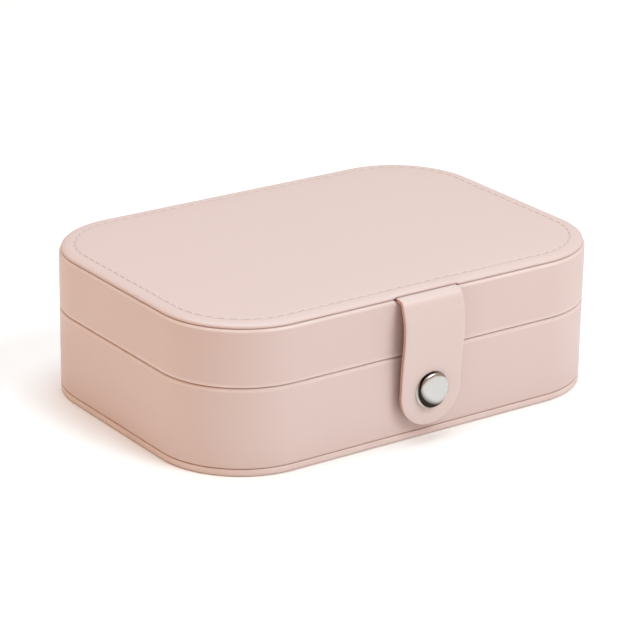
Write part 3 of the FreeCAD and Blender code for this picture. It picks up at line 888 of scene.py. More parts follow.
lip_high = Vector((panel_high.x, panel_high.y, panel_low.z + PANEL_LIP))
top_panel = pillow("padded_top_panel", panel_low, lip_high, panel_radius, 1.0, TURNED_UNDER)
pick(top_panel, "faces", lambda f: f.normal.z < -0.99)
bpy.ops.mesh.delete(type="FACE")
bpy.ops.object.mode_set(mode="OBJECT")
print("panel top at %.2f mm of %.2f" % (max(v.co.z for v in top_panel.data.vertices) / MM, panel_high.z / MM))

# %% [markdown]
# Over its width the strap's tail lifts the panel's edge a little, which leaves a small dark notch at each
# side of the strap. The lift fades sideways and inwards, so it is easiest as a short sculpting rule.

# %% The panel's edge over the strap
EDGE_LIFT = 0.42 * MM
LIFT_FADE = 1.4 * MM
LIFT_REACH = 7 * MM


def ease(share):
    share = min(1.0, max(0.0, share))
    return share * share * (3 - 2 * share)


def lift_over_strap(piece):
    for vertex in piece.data.vertices:
        beside = 1 - ease((abs(vertex.co.x) - strap_high.x) / LIFT_FADE)
        inwards = 1 - ease((vertex.co.y - panel_low.y) / LIFT_REACH)
        vertex.co.z += EDGE_LIFT * beside * inwards


lift_over_strap(top_panel)
print("panel edge lifted %.2f mm over the strap" % (EDGE_LIFT / MM))

# %% [markdown]
# The seam map gives every corner of every face its count of stitches along the seam and its distance
# in from the panel's edge. A face that closes the round is counted on from its own middle.

# %% Seam map
def seam_place(x, y):
    """(distance along the seam line, inset from the panel's edge), starting at the front's left end."""
    run_x = 2 * (panel_high.x - panel_radius)
    run_y = 2 * (panel_high.y - panel_radius)
    arc = (panel_radius - SEAM_INSET) * math.pi / 2
    half_x, half_y = run_x / 2, run_y / 2
    if abs(x) <= half_x and y < 0:
        return x + half_x, panel_high.y + y
    if abs(y) <= half_y and x > 0:
        return run_x + arc + y + half_y, panel_high.x - x
    if abs(x) <= half_x:
        return run_x + run_y + 2 * arc + half_x - x, panel_high.y - y
    if abs(y) <= half_y:
        return 2 * run_x + run_y + 3 * arc + half_y - y, panel_high.x + x
    centre_x, centre_y = math.copysign(half_x, x), math.copysign(half_y, y)
    spoke = Vector((x - centre_x, y - centre_y))
    turned = math.atan2(spoke.y, spoke.x) % (2 * math.pi)
    corner = {(1, -1): (run_x, 1.5), (1, 1): (run_x + run_y + arc, 0.0),
              (-1, 1): (2 * run_x + run_y + 2 * arc, 0.5), (-1, -1): (2 * run_x + 2 * run_y + 3 * arc, 1.0)}
    start, quarter = corner[(int(math.copysign(1, x)), int(math.copysign(1, y)))]
    return start + (turned - quarter * math.pi) * (panel_radius - SEAM_INSET), panel_radius - spoke.length


seam_radius = panel_radius - SEAM_INSET
seam_length = 4 * (panel_high.x + panel_high.y - 2 * panel_radius) + 2 * math.pi * seam_radius
stitch_count = round(seam_length / SEAM_PITCH)


def map_seam(piece):
    seam = piece.data.uv_layers.new(name="seam")
    for face in piece.data.polygons:
        middle = seam_place(face.center.x, face.center.y)[0]
        for corner in face.loop_indices:
            spot = piece.data.vertices[piece.data.loops[corner].vertex_index].co
            along, inset = seam_place(spot.x, spot.y)
            along -= seam_length * round((along - middle) / seam_length)
            seam.data[corner].uv = (along / seam_length * stitch_count, inset / MM)


map_seam(top_panel)
print("seam: %.1f mm, %d stitches" % (seam_length / MM, stitch_count))
thicken(top_panel, PANEL_SKIN)
smooth(top_panel, 60)
dress(top_panel, "lid", panel_leather, "case_leather", "lid_top_cover")

# %% [markdown]
# Under the leather lies the foam, a thinner pillow of the same plan on the panel's board.

# %% Foam of the top panel
FOAM_GAP = 0.55 * MM
FOAM_LIP = 0.1 * MM
FOAM_CORNER = 1.2 * MM      # how much tighter its corners are than the leather's
FOAM_SWELL = 0.22           # its rise, as a share of the leather's
foam_low, foam_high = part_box("lid_top_foam")
board_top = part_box("lid_top_board")[1].z
pad_low = Vector((foam_low.x + FOAM_GAP, foam_low.y + FOAM_GAP, board_top))
pad_high = Vector((foam_high.x - FOAM_GAP, foam_high.y - FOAM_GAP, board_top + FOAM_LIP))
foam_radius = panel_radius - FOAM_CORNER
top_foam = pillow("top_panel_foam", pad_low, pad_high, foam_radius, FOAM_SWELL, 0.04 * MM)
bpy.ops.object.mode_set(mode="OBJECT")
smooth(top_foam, 60)
dress(top_foam, "lid", foam, "foam", "lid_top_foam")

# %% [markdown]
# ## Stitches
# The panel is sewn with a lock stitch in matching thread, one stitch every 3.85 mm. Its course is worked
# out first: each side of the panel is a straight run and a quarter turn, and walking along them from the
# front's left end gives the place and heading of any stitch.

# %% Course of the seam
def along_outline(inset, share):
    """Place and heading at a share of the way round the panel's outline, drawn in by inset."""
    half_x = panel_high.x - inset
    half_y = panel_high.y - inset
    radius = panel_radius - inset
    run_x, run_y = 2 * (half_x - radius), 2 * (half_y - radius)
    turn = radius * math.pi / 2
    sides = [(run_x, 0, Vector((-run_x / 2, -half_y))), (run_y, 90, Vector((half_x, -run_y / 2))),
             (run_x, 180, Vector((run_x / 2, half_y))), (run_y, 270, Vector((-half_x, run_y / 2)))]
    left = share * (2 * (run_x + run_y) + 4 * turn)
    for straight, degrees, start in sides:
        heading = math.radians(degrees)
        ahead = Vector((math.cos(heading), math.sin(heading)))
        if left <= straight:
            return start + ahead * left, heading
        left -= straight
        if left <= turn:
            centre = start + ahead * straight + Vector((-ahead.y, ahead.x)) * radius
            angle = left / radius
            spoke = Matrix.Rotation(angle, 2) @ Vector((ahead.y, -ahead.x))
            return centre + spoke * radius, heading + angle
        left -= turn
    return sides[0][2], 0.0


seam_start = along_outline(SEAM_INSET, 0)[0]
print("the seam starts at", [round(v / MM, 1) for v in seam_start], "mm")

# %% [markdown]
# A single stitch is a small stretched sphere whose ends bend down into their holes. It is copied along
# the course, every copy with its own mesh, and the copies are joined into one run of thread.

# %% Stitches
STITCH_LENGTH = 2.9 * MM
STITCH_WIDTH = 0.42 * MM
STITCH_STAND = 0.05 * MM
STITCH_SLANT = math.radians(6)
STITCH_END = 0.36           # where its ends begin, as a share of its length
STITCH_DROP = 0.13 * MM


def one_stitch():
    deselect()
    bpy.ops.mesh.primitive_uv_sphere_add(segments=8, ring_count=7, radius=0.5, rotation=(0, math.pi / 2, 0))
    stitch = bpy.context.object
    bpy.ops.object.transform_apply(rotation=True)
    stitch.scale = (STITCH_LENGTH, STITCH_WIDTH, STITCH_WIDTH)
    bpy.ops.object.transform_apply(scale=True)
    edit(stitch, "VERT")
    pick(stitch, "verts", lambda v: abs(v.co.x) > STITCH_END * STITCH_LENGTH)
    bpy.ops.transform.translate(value=(0, 0, -STITCH_DROP))
    bpy.ops.object.mode_set(mode="OBJECT")
    return stitch


def panel_height_at(place):
    above = Vector((place.x, place.y, panel_high.z + 10 * MM))
    hit, point, _, _ = top_panel.ray_cast(above, (0, 0, -1))
    return point.z if hit else panel_high.z


stitch = one_stitch()
stitches = []
for index in range(stitch_count):
    place, heading = along_outline(SEAM_INSET, (index + 0.5) / stitch_count)
    copy = stitch.copy()
    copy.data = stitch.data.copy()
    bpy.context.collection.objects.link(copy)
    spot = Matrix.Translation((place.x, place.y, panel_height_at(place) + STITCH_STAND))
    copy.matrix_world = spot @ Matrix.Rotation(heading + STITCH_SLANT, 4, "Z")
    stitches.append(copy)
deselect()
for copy in stitches:
    copy.select_set(True)
bpy.context.view_layer.objects.active = stitches[0]
bpy.ops.object.join()
stitch_line = bpy.context.object
stitch_line.name = "top_panel_stitches"
bpy.ops.object.transform_apply(location=True, rotation=True, scale=True)
bpy.data.objects.remove(stitch)
smooth(stitch_line, 70)
dress(stitch_line, "lid", thread, "thread")
print(stitch_count, "stitches of", round(STITCH_LENGTH / MM, 1), "mm")

# %% [markdown]
# ## The strap
# The strap is cut flat: a strip with a half-round end, two layers glued together, with a painted edge.
# It leaves the case under the top panel, bows outwards and hangs to the press stud. So each layer is
# modelled flat, with cross cuts, and then every point is carried onto the bow: its distance along the
# strip becomes a distance along the bow, and its depth stays square to it.

# %% The bow
STRAP_SKIN = 0.8 * MM
STRAP_BACK = 0.66 * MM
CROSS_CUTS = 46
pivot_out = front - pivot["pos_m"][1]
pivot_height = pivot["pos_m"][2]
half_thick = (STRAP_SKIN + STRAP_BACK) / 2
snap_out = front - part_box("snap_socket")[0].y + half_thick
hang = lid_high.z - snap_height
tail = lid_high.z - 0.30 * MM

bow = [(-9 * MM, tail), (-3 * MM, tail), (0.2 * MM, tail), (1.33 * MM, lid_high.z - 0.26 * MM),
       (pivot_out, pivot_height), (2.99 * MM, lid_high.z - 3.2 * MM),
       (snap_out + 1.30 * MM, lid_high.z - 0.25 * hang), (snap_out + 1.34 * MM, lid_high.z - 0.435 * hang),
       (snap_out + 0.77 * MM, lid_high.z - 0.62 * hang), (snap_out + 0.25 * MM, lid_high.z - 0.81 * hang),
       (snap_out, snap_height), (snap_out - 0.20 * MM, snap_height - 4.8 * MM),
       (snap_out - 0.45 * MM, strap_low.z)]


def smooth_line(points, steps=12):
    """A smooth line through the points, as a list of close points (Catmull-Rom)."""
    line = []
    ends = [points[0]] + list(points) + [points[-1]]
    for index in range(1, len(ends) - 2):
        p0, p1, p2, p3 = (Vector(p) for p in ends[index - 1:index + 3])
        for step in range(steps):
            t = step / steps
            line.append(0.5 * (2 * p1 + (p2 - p0) * t + (2 * p0 - 5 * p1 + 4 * p2 - p3) * t * t
                               + (3 * p1 - p0 - 3 * p2 + p3) * t ** 3))
    return line + [Vector(points[-1])]


bow_line = smooth_line(bow)
bow_lengths = [0.0]
for one, two in zip(bow_line, bow_line[1:]):
    bow_lengths.append(bow_lengths[-1] + (two - one).length)
strap_length = bow_lengths[-1]
print("strap: %.1f mm along its bow" % (strap_length / MM))


def on_bow(distance, depth):
    """The point a distance along the bow, and a depth out from its middle."""
    index = 0
    while index < len(bow_lengths) - 2 and bow_lengths[index + 1] < distance:
        index += 1
    share = (distance - bow_lengths[index]) / (bow_lengths[index + 1] - bow_lengths[index])
    middle = bow_line[index].lerp(bow_line[index + 1], share)
    before = bow_line[max(index - 1, 0)]
    after = bow_line[min(index + 2, len(bow_line) - 1)]
    ahead = (after - before).normalized()
    outwards = Vector((-ahead.y, ahead.x))
    return middle + outwards * depth


# %% [markdown]
# The face leather is as wide as the strap, and the lining under it a hair narrower. The tip of each is
# rounded by a bevel of half its width, its long edges are softened, and the edge faces get the edge paint.

# %% Strap layers
TIP_STEPS = 26
FACE_CUTS = (0.0, 0.45, 0.85)       # shares of the half width
STRAP_HALF = (strap_high.x - strap_low.x) / 2


def strap_layer(name, depth_low, depth_high, half_width, edge_round):
    """Flat, x is across the strap, y along it and z its depth; then every point goes onto the bow."""
    tip = strap_length - (STRAP_HALF - half_width)
    piece = start_block(name, (-half_width, 0, depth_low), (half_width, tip, depth_high))
    edit(piece)
    pick(piece, "edges", lambda e: upright(e) and e.verts[0].co.y > tip - TINY)
    bpy.ops.mesh.bevel(offset=half_width * 0.999, segments=TIP_STEPS, affect="EDGES")
    pick(piece, "edges", lambda e: level_at(depth_high)(e) or level_at(depth_low)(e))
    bpy.ops.mesh.bevel(offset=edge_round, segments=3, affect="EDGES")
    for cut in range(1, CROSS_CUTS):
        cut_at(piece, (0, tip * cut / CROSS_CUTS, 0), (0, 1, 0))
    for side in (-1, 1):
        for share in FACE_CUTS:
            cut_at(piece, (side * share * half_width, 0, 0), (1, 0, 0))
    bpy.ops.object.mode_set(mode="OBJECT")
    for face in piece.data.polygons:
        face.material_index = 0 if abs(face.normal.z) > 0.6 else 1
    for vertex in piece.data.vertices:
        out, height = on_bow(vertex.co.y, vertex.co.z)
        vertex.co = (vertex.co.x, front - out, height)
    edit(piece, "FACE")
    turn_outwards()
    smooth(piece, 50)
    return piece


def paint_layer(piece, face_finish, slot, nodes):
    faces = [face.material_index for face in piece.data.polygons]
    dress(piece, None, [face_finish, painted_edge], slot, *nodes)
    for face, index in zip(piece.data.polygons, faces):
        face.material_index = index
    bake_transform(piece)


glue_depth = half_thick - STRAP_SKIN
strap_face = strap_layer("strap_face_leather", glue_depth, half_thick, STRAP_HALF, 0.34 * MM)
paint_layer(strap_face, strap_leather, "strap_leather", ("strap_outer", "strap_anchor"))
strap_back = strap_layer("strap_back_leather", -half_thick, glue_depth, STRAP_HALF - 0.06 * MM, 0.22 * MM)
paint_layer(strap_back, strap_back_leather, "strap_lining_leather", ("strap_lining",))

# %% [markdown]
# ## The press stud's cap
# The cap is pressed from round sheet, so it is made as on a lathe: a profile is drawn by extruding one
# point after another from the middle outwards, and spun round the stud's axis.

# %% Lathe
def lathe(name, profile, centre, steps):
    """Spins (radius, depth) points round the line through centre along -Y; depth grows towards the front."""
    deselect()
    bpy.ops.mesh.primitive_plane_add(size=MM)
    piece = bpy.context.object
    piece.name = name
    bpy.ops.object.transform_apply(location=True, rotation=True, scale=True)
    edit(piece, "VERT")
    pick(piece, "verts", lambda v: v.co.x > 0 or v.co.y > 0)
    bpy.ops.mesh.delete(type="VERT")
    points = [centre + Vector((radius, -depth, 0)) for radius, depth in profile]
    bpy.ops.mesh.select_all(action="SELECT")
    bpy.ops.transform.translate(value=points[0] - bmesh.from_edit_mesh(piece.data).verts[:][0].co)
    for one, two in zip(points, points[1:]):
        bpy.ops.mesh.extrude_region_move(TRANSFORM_OT_translate={"value": two - one})
    bpy.ops.mesh.select_all(action="SELECT")
    bpy.ops.mesh.spin(steps=steps, angle=2 * math.pi, center=centre, axis=(0, 1, 0))
    bpy.ops.mesh.select_all(action="SELECT")
    bpy.ops.mesh.remove_doubles(threshold=0.5 * TINY)
    turn_outwards()
    bpy.ops.object.mode_set(mode="OBJECT")
    return piece


print("lathe ready")

# %% [markdown]
# The cap is a nickel dome, almost flat with a tightly rolled rim, on a short neck, and the neck stands on a
# flat flange that clamps the leather. The shade painted round the neck outlines the dome.

# %% Press stud cap
CAP_STEPS = 64
FACE_INSET = 0.42 * MM      # from the rim in to the end of the dome's curve
DOME_LINE = 1.05 * MM       # how far out from the strap that curve ends
FLATNESS = 0.62
POST_RADIUS = 1.3 * MM
DOME_DEGREES = (12, 24, 36, 46, 55, 62, 68, 73, 78, 83, 87, 90)
RIM_AND_FLANGE = (          # (in from the rim, out from the strap), in mm
    (0.47, 0.86), (0.62, 0.70), (0.84, 0.60), (0.86, 0.46), (0.76, 0.40), (0.20, 0.38), (0.07, 0.31),
    (0.0, 0.20), (0.05, 0.06), (0.2, 0.0))
strap_surface = snap_out + half_thick
cap_centre = Vector((0, front - strap_surface, snap_height))


def cap_profile():
    """From the dome's middle over its rolled rim, in to the neck, round the flange and back to the post."""
    points = [(0.0, CAP_RISE)]
    for degrees in DOME_DEGREES:
        angle = math.radians(degrees)
        drop = 1 - math.cos(angle) ** FLATNESS
        points.append(((cap_radius - FACE_INSET) * math.sin(angle), CAP_RISE - (CAP_RISE - DOME_LINE) * drop))
    points += [(cap_radius - inset * MM, depth * MM) for inset, depth in RIM_AND_FLANGE]
    points += [(POST_RADIUS, 0.0), (POST_RADIUS, -2 * half_thick), (0.0, -2 * half_thick)]
    return points


snap_cap = lathe("press_stud_cap", cap_profile(), cap_centre, CAP_STEPS)
smooth(snap_cap, 35)
dress(snap_cap, "strap", satin_nickel, "satin_nickel", "snap_cap")

# %% [markdown]
# ## The hinge
# At the back one strip of leather joins base and lid, and inside a velvet strip covers the gap. Both
# cross the joint, so both have close cuts at the split, where they bend; neither is attached to a body.

# %% Hinge strips
BEND_CUTS = 16              # each way from the split
BEND_GAP = 0.3 * MM
STRIP_COLUMNS = 6


def hinge_strip(name, low, high, edge_round, corner):
    piece = start_block(name, low, high)
    edit(piece)
    pick(piece, "edges", lambda e: abs(e.verts[0].co.y - e.verts[1].co.y) > TINY)
    bpy.ops.mesh.bevel(offset=corner, segments=5, affect="EDGES")
    outer = high.y if low.y > back - 0.1 * MM else low.y
    pick(piece, "edges", lambda e: all(abs(v.co.y - outer) < TINY for v in e.verts))
    bpy.ops.mesh.bevel(offset=edge_round, segments=3, affect="EDGES")
    for cut in range(-BEND_CUTS, BEND_CUTS + 1):
        cut_at(piece, (0, 0, split + BEND_GAP * cut), (0, 0, 1))
    for step in range(1, STRIP_COLUMNS):
        cut_at(piece, (low.x + (high.x - low.x) * step / STRIP_COLUMNS, 0, 0), (1, 0, 0))
    smooth(piece)
    return piece


def bend_at_split(piece):
    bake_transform(piece)


outer_low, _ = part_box("hinge_leather_lower")
_, outer_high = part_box("hinge_leather_upper")
hinge_leather = hinge_strip("hinge_leather_strip", outer_low, outer_high, 0.3 * MM, 1.2 * MM)
dress(hinge_leather, None, case_leather, "case_leather", "hinge_leather_lower", "hinge_leather_upper")
bend_at_split(hinge_leather)

inner_low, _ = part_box("hinge_lining_lower")
_, inner_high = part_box("hinge_lining_upper")
hinge_velvet = hinge_strip("hinge_velvet_strip", inner_low, inner_high, 0.2 * MM, 1.0 * MM)
dress(hinge_velvet, None, lining_velvet, "velvet", "hinge_lining_lower", "hinge_lining_upper")
bend_at_split(hinge_velvet)

# %% [markdown]
# ## Wrapped dividers
# The tray's dividers are strips of board with velvet folded over their top edge, so that edge is round and
# soft, and it gives a little in the middle of its length. Each is a block with its two long top edges
# rounded over and with cross cuts, and the top's points then sink slightly towards the middle.

# %% Wrapped dividers
DIVIDER_CUTS = 10
FOLD_SHARE = 0.42           # of the strip's thickness
TOP_DIP = 0.12 * MM
DIP_BELOW = 1.5 * MM        # how far down the strip its points move along
LONG_EDGE = 5 * MM


def wrapped_divider(node):
    low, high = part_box(node)
    size = high - low
    piece = start_block(node + "_velvet", low, high)
    edit(piece)
    pick(piece, "edges", lambda e: level_at(high.z)(e) and e.calc_length() > LONG_EDGE)
    bpy.ops.mesh.bevel(offset=FOLD_SHARE * min(size.x, size.y), segments=4, affect="EDGES")
    along = Vector((0, 1, 0)) if size.y > size.x else Vector((1, 0, 0))
    for cut in range(1, DIVIDER_CUTS):
        cut_at(piece, low + size * cut / DIVIDER_CUTS, along)
    bpy.ops.object.mode_set(mode="OBJECT")
    for vertex in piece.data.vertices:
        share = (vertex.co - low).dot(along) / size.dot(along)
        if vertex.co.z > high.z - DIP_BELOW:
            vertex.co.z -= TOP_DIP * math.sin(math.pi * share) ** 2
    smooth(piece)
    dress(piece, "tray", lining_velvet, "velvet", node)


for node in ("tray_divider_left", "tray_divider_right", "tray_cross_left", "tray_cross_right"):
    wrapped_divider(node)

# %% [markdown]
# ## Ring rolls
# A ring roll is foam wrapped in velvet, pushed in beside its neighbours so that a ring slips between two
# of them. It starts as a block with a round top, a little smaller than the roll, and remeshing turns that
# into even squares that cloth can work with.

# %% Pattern of a ring roll
ROLL_SLACK = 0.35 * MM
ROLL_VOXEL = 1.15 * MM
ROLL_ROUND = 0.46           # of the block's width
ROLL_END_ROUND = 0.7 * MM
roll_low, roll_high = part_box("ring_roll_1")


def start_roll():
    slack = Vector((ROLL_SLACK, ROLL_SLACK, 0))
    piece = start_block("roll_pattern", roll_low + slack, roll_high - slack - Vector((0, 0, ROLL_SLACK)))
    width = roll_high.y - roll_low.y - 2 * ROLL_SLACK
    top = roll_high.z - ROLL_SLACK
    edit(piece)
    pick(piece, "edges", lambda e: level_at(top)(e) and abs(e.verts[0].co.y - e.verts[1].co.y) < TINY)
    bpy.ops.mesh.bevel(offset=ROLL_ROUND * width, segments=8, affect="EDGES")
    pick(piece, "edges", lambda e: all(abs(abs(v.co.x) - roll_high.x + ROLL_SLACK) < TINY for v in e.verts))
    bpy.ops.mesh.bevel(offset=ROLL_END_ROUND, segments=3, affect="EDGES")
    apply_modifier(piece, "REMESH", mode="VOXEL", voxel_size=ROLL_VOXEL)
    return piece


first_roll = start_roll()
print("roll pattern:", len(first_roll.data.vertices), "points")

# %% [markdown]
# The foam presses the velvet out into soft, slightly uneven sides. So the pattern is blown up with a short
# cloth simulation, at twenty times its size, because the solver works best on cushion-sized pieces. It is
# then scaled back to just fill its own box.

# %% One ring roll, inflated
ROLL_GROWTH = 20
ROLL_CAP = 0.45 * MM
AIR_PRESSURE = 4.0
SIM_FRAMES = 20


def inflate(piece, growth, cap, pressure, frames):
    """Blows a piece up like a cushion, and keeps each point within cap of where it started."""
    before = [vertex.co.copy() for vertex in piece.data.vertices]
    for vertex in piece.data.vertices:
        vertex.co *= growth
    cloth = piece.modifiers.new("cloth", "CLOTH")
    cloth.settings.use_pressure = True
    cloth.settings.uniform_pressure_force = pressure
    cloth.settings.effector_weights.gravity = 0
    cloth.settings.quality = 5
    for number in range(1, frames + 1):
        bpy.context.scene.frame_set(number)
    make_active(piece)
    bpy.ops.object.modifier_apply(modifier="cloth")
    bpy.context.scene.frame_set(1)
    for vertex, start in zip(piece.data.vertices, before):
        moved = vertex.co / growth - start
        vertex.co = start + moved * min(1.0, cap / max(moved.length, 1e-9))


def fit_inside(piece, low, high):
    """Scales a piece so that it just fills its box, with its foot flat on the box's floor."""
    spots = [vertex.co for vertex in piece.data.vertices]
    was_low = Vector([min(spot[i] for spot in spots) for i in range(3)])
    was_high = Vector([max(spot[i] for spot in spots) for i in range(3)])
    for spot in spots:
        for i in range(3):
            spot[i] = low[i] + (spot[i] - was_low[i]) * (high[i] - low[i]) / (was_high[i] - was_low[i])


inflate(first_roll, ROLL_GROWTH, ROLL_CAP, AIR_PRESSURE, SIM_FRAMES)
fit_inside(first_roll, roll_low, roll_high)
apply_modifier(first_roll, "SUBSURF", levels=1, render_levels=1)
print("roll:", len(first_roll.data.vertices), "points")

# %% [markdown]
# The velvet is wrapped round the foam and glued shut under the roll, with its ends tucked in like a
# parcel's. That shows as shallow folds that run in from each end and fade out, and as slight waists where
# the wrapping pulls. The roll is copied into all eight places, and each copy gets its own folds.

# %% Tucked ends, and eight rolls in a row
TUCK_REACH = 5.0 * MM
TUCK_DEPTH = 0.22 * MM
TUCK_FOLDS = 5
WAIST_DEPTH = 0.10 * MM
WAIST_PITCH = 1.3           # of half the roll's length
FOLD_FOOT = 1.5 * MM        # no folds below this height
WAIST_FOOT = 2 * MM
random.seed(11)


def tuck_ends(piece, low, high, phase):
    middle = (low + high) / 2
    half = (high - low) / 2
    for vertex in piece.data.vertices:
        spot = vertex.co
        near_end = 1 - ease((half.x - abs(spot.x - middle.x)) / TUCK_REACH)
        round_it = math.atan2(spot.z - middle.z, spot.y - middle.y)
        fold = math.sin(TUCK_FOLDS * round_it + phase) * (spot.z > low.z + FOLD_FOOT)
        waist = WAIST_DEPTH * math.cos(2 * math.pi * (spot.x - middle.x) / (WAIST_PITCH * half.x) + phase)
        pull = near_end * TUCK_DEPTH * (1 + fold) / 2 + max(0, waist) * (spot.z > low.z + WAIST_FOOT)
        towards = Vector((0, middle.y - spot.y, middle.z - spot.z))
        if towards.length > TINY:
            spot += towards.normalized() * pull


roll_names = sorted(name for name in frame["nodes"] if name.startswith("ring_roll_"))
for name in roll_names:
    low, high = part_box(name)
    roll = first_roll.copy()
    roll.data = first_roll.data.copy()
    roll.name = name + "_velvet"
    bpy.context.collection.objects.link(roll)
    for vertex in roll.data.vertices:
        vertex.co += low - roll_low
    tuck_ends(roll, low, high, random.uniform(0, 6.28))
    smooth(roll, 70)
    dress(roll, "tray", roll_velvet, "roll_velvet", name)
bpy.data.objects.remove(first_roll)

# %% [markdown]
# ## The pouch in the lid
# A pocket of thin velvet hangs under the lid's inside panel, gathered along its mouth by an elastic. It
# starts as a flat grid. Each point drops by how far it is from the sewn sides, and the gathers are waves
# that are deep at the mouth and die out towards the hinge. The waves make up the spare width.

# %% Gathered pouch
POUCH_ACROSS = 168
POUCH_ALONG = 44
GATHERS = 27
GATHER_DEPTH = 0.62 * MM
CLOTH = 0.3 * MM
POUCH_SPARE = 0.9 * MM      # of its depth, left for the gathers
CORNER_SHARE = 0.16         # of half its width
BOTTOM_SHARE = 0.35         # of its length
pouch_low, pouch_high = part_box("necklace_pouch")
elastic_low, elastic_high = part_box("pouch_elastic")


def pouch_point(across, along):
    """Where a point of the flat cloth goes; across runs from -1 to 1, and along from mouth to hinge."""
    half = (pouch_high.x - pouch_low.x) / 2
    depth = pouch_high.z - pouch_low.z - POUCH_SPARE
    corner = ease((1 - abs(across)) / CORNER_SHARE)
    closed = ease((1 - along) / BOTTOM_SHARE)
    sag = corner * (0.35 + 0.65 * closed) * closed
    wander = 0.6 * math.sin(7.3 * across + 2.1) + 0.4 * math.sin(17.9 * across + 0.4)
    wave = math.sin(math.pi * GATHERS * across + 1.7 * wander + 1.2 * along * math.sin(9 * across))
    fade = (1 - along) ** 1.6 * 0.85 + 0.15 * (1 - along)
    ripple = GATHER_DEPTH * wave * fade * corner
    y = pouch_low.y + along * (pouch_high.y - pouch_low.y) - 0.6 * MM * along * (1 - corner) * along
    bow_in = 1 - 0.05 * ease(along) * abs(across) ** 3
    return Vector((half * across * bow_in, y, pouch_high.z - CLOTH - depth * sag - ripple))


deselect()
bpy.ops.mesh.primitive_grid_add(x_subdivisions=POUCH_ACROSS, y_subdivisions=POUCH_ALONG, size=2)
pouch = bpy.context.object
pouch.name = "gathered_pouch"
for vertex in pouch.data.vertices:
    vertex.co = pouch_point(vertex.co.x, (vertex.co.y + 1) / 2)
pouch_area = sum(face.area for face in pouch.data.polygons)
edit(pouch, "FACE")
bpy.ops.mesh.select_all(action="SELECT")
bpy.ops.mesh.flip_normals()
bpy.ops.object.mode_set(mode="OBJECT")
apply_modifier(pouch, "SOLIDIFY", thickness=CLOTH, offset=0)
smooth(pouch, 70)
dress(pouch, "lid", roll_velvet, "roll_velvet", "necklace_pouch")
print("pouch cloth: %.0f square mm" % (pouch_area / MM ** 2))

# %% [markdown]
# The mouth's casing is a tube of the same cloth, ruffled by the elastic inside it: a cylinder with many
# cross cuts, swollen between the gathers and pinched at them.

# %% Elastic casing
CASING_CUTS = 110
CASING_SIDES = 14
RUFFLES = GATHERS * 1.6
PINCH = 0.16                # of the casing's radius
casing_middle = (elastic_low + elastic_high) / 2
casing_radius = (elastic_high.z - elastic_low.z) / 2


def ruffled_casing():
    deselect()
    length = elastic_high.x - elastic_low.x
    bpy.ops.mesh.primitive_cylinder_add(vertices=CASING_SIDES, radius=casing_radius, depth=length,
                                        location=casing_middle, rotation=(0, math.pi / 2, 0))
    piece = bpy.context.object
    piece.name = "pouch_casing"
    bpy.ops.object.transform_apply(location=True, rotation=True, scale=True)
    edit(piece)
    for cut in range(1, CASING_CUTS):
        cut_at(piece, (elastic_low.x + length * cut / CASING_CUTS, 0, 0), (1, 0, 0))
    bpy.ops.object.mode_set(mode="OBJECT")
    for vertex in piece.data.vertices:
        across = 2 * (vertex.co.x - elastic_low.x) / length - 1
        spoke = vertex.co - Vector((vertex.co.x, casing_middle.y, casing_middle.z))
        ruffle = math.pi * RUFFLES * across + math.sin(11 * across) + 2 * spoke.y / casing_radius
        pinch = 1 - PINCH + PINCH * math.sin(ruffle)
        end = min(1.0, 0.35 + (1 - abs(across)) * 30)
        vertex.co += spoke * (pinch * end - 1)
    smooth(piece, 70)
    return piece


casing = ruffled_casing()
dress(casing, "lid", roll_velvet, "roll_velvet", "pouch_elastic")

# %% [markdown]
# ## Ribbon tabs
# Two ribbon tabs lift the tray out. Each is a length of ribbon folded double, with its raw ends glued
# behind the lining. An edge as wide as the ribbon is extruded up one leg, round the fold and down the
# other, and the strip is then given its thickness.

# %% Folded ribbon tabs
RIBBON = 0.26 * MM
FOLD_STEPS = 6
RIBBON_CUTS = 7
NARROWING = 0.06            # of the ribbon's width, at the fold
NARROW_BELOW = 3 * MM


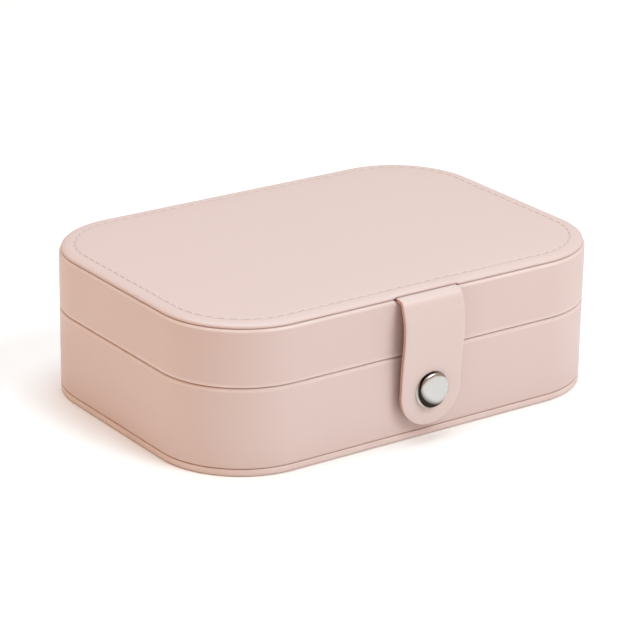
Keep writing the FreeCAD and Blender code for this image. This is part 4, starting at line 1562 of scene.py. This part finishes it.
def folded_tab(side):
    low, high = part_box("tray_tab_" + side)
    width = high.y - low.y
    inner, outer = low.x + RIBBON / 2, high.x - RIBBON / 2
    middle, radius = (inner + outer) / 2, (outer - inner) / 2
    fold_height = high.z - RIBBON / 2 - radius
    path = [(inner, low.z), (inner, (low.z + high.z) / 2)]
    for step in range(FOLD_STEPS + 1):
        angle = math.pi * (1 - step / FOLD_STEPS)
        path.append((middle + radius * math.cos(angle), fold_height + radius * math.sin(angle)))
    path += [(outer, (low.z + high.z) / 2), (outer, low.z)]
    deselect()
    bpy.ops.mesh.primitive_plane_add(size=width, location=(inner + width / 2, 0, low.z))
    tab = bpy.context.object
    tab.name = "ribbon_tab_" + side
    bpy.ops.object.transform_apply(location=True)
    edit(tab, "VERT")
    pick(tab, "verts", lambda v: v.co.x > inner + TINY)
    bpy.ops.mesh.delete(type="VERT")
    bpy.ops.mesh.select_all(action="SELECT")
    bpy.ops.mesh.subdivide(number_cuts=RIBBON_CUTS)
    bpy.ops.mesh.select_all(action="SELECT")
    for one, two in zip(path, path[1:]):
        stride = (two[0] - one[0], 0, two[1] - one[1])
        bpy.ops.mesh.extrude_region_move(TRANSFORM_OT_translate={"value": stride})
    turn_outwards()
    thicken(tab, RIBBON, offset=0)
    for vertex in tab.data.vertices:
        top = ease((vertex.co.z - high.z + NARROW_BELOW) / NARROW_BELOW)
        vertex.co.y *= 1 - NARROWING * top
    smooth(tab)
    dress(tab, "tray", ribbon, "ribbon", "tray_tab_" + side)


for side in ("left", "right"):
    folded_tab(side)

# %% [markdown]
# ## Frame nodes that keep their shape
# Boards, linings, the lower dividers and the small metal parts are right as they are, and only get their
# finish.

# %% Finishes on the frame's nodes
finish_of_slot = {"case_leather": case_leather, "strap_leather": strap_leather,
                  "strap_lining_leather": strap_back_leather, "board": grey_board, "foam": foam,
                  "velvet": lining_velvet, "roll_velvet": roll_velvet, "ribbon": ribbon, "thread": thread,
                  "satin_nickel": satin_nickel, "bright_nickel": bright_nickel}
slot_of_node = {part["node"]: part["material_slot"] for part in frame["record"]["subparts"]}
for name, node in frame["nodes"].items():
    node.data.materials.clear()
    node.data.materials.append(finish_of_slot[slot_of_node[name]])
print(len(frame["nodes"]), "frame nodes have their finish")
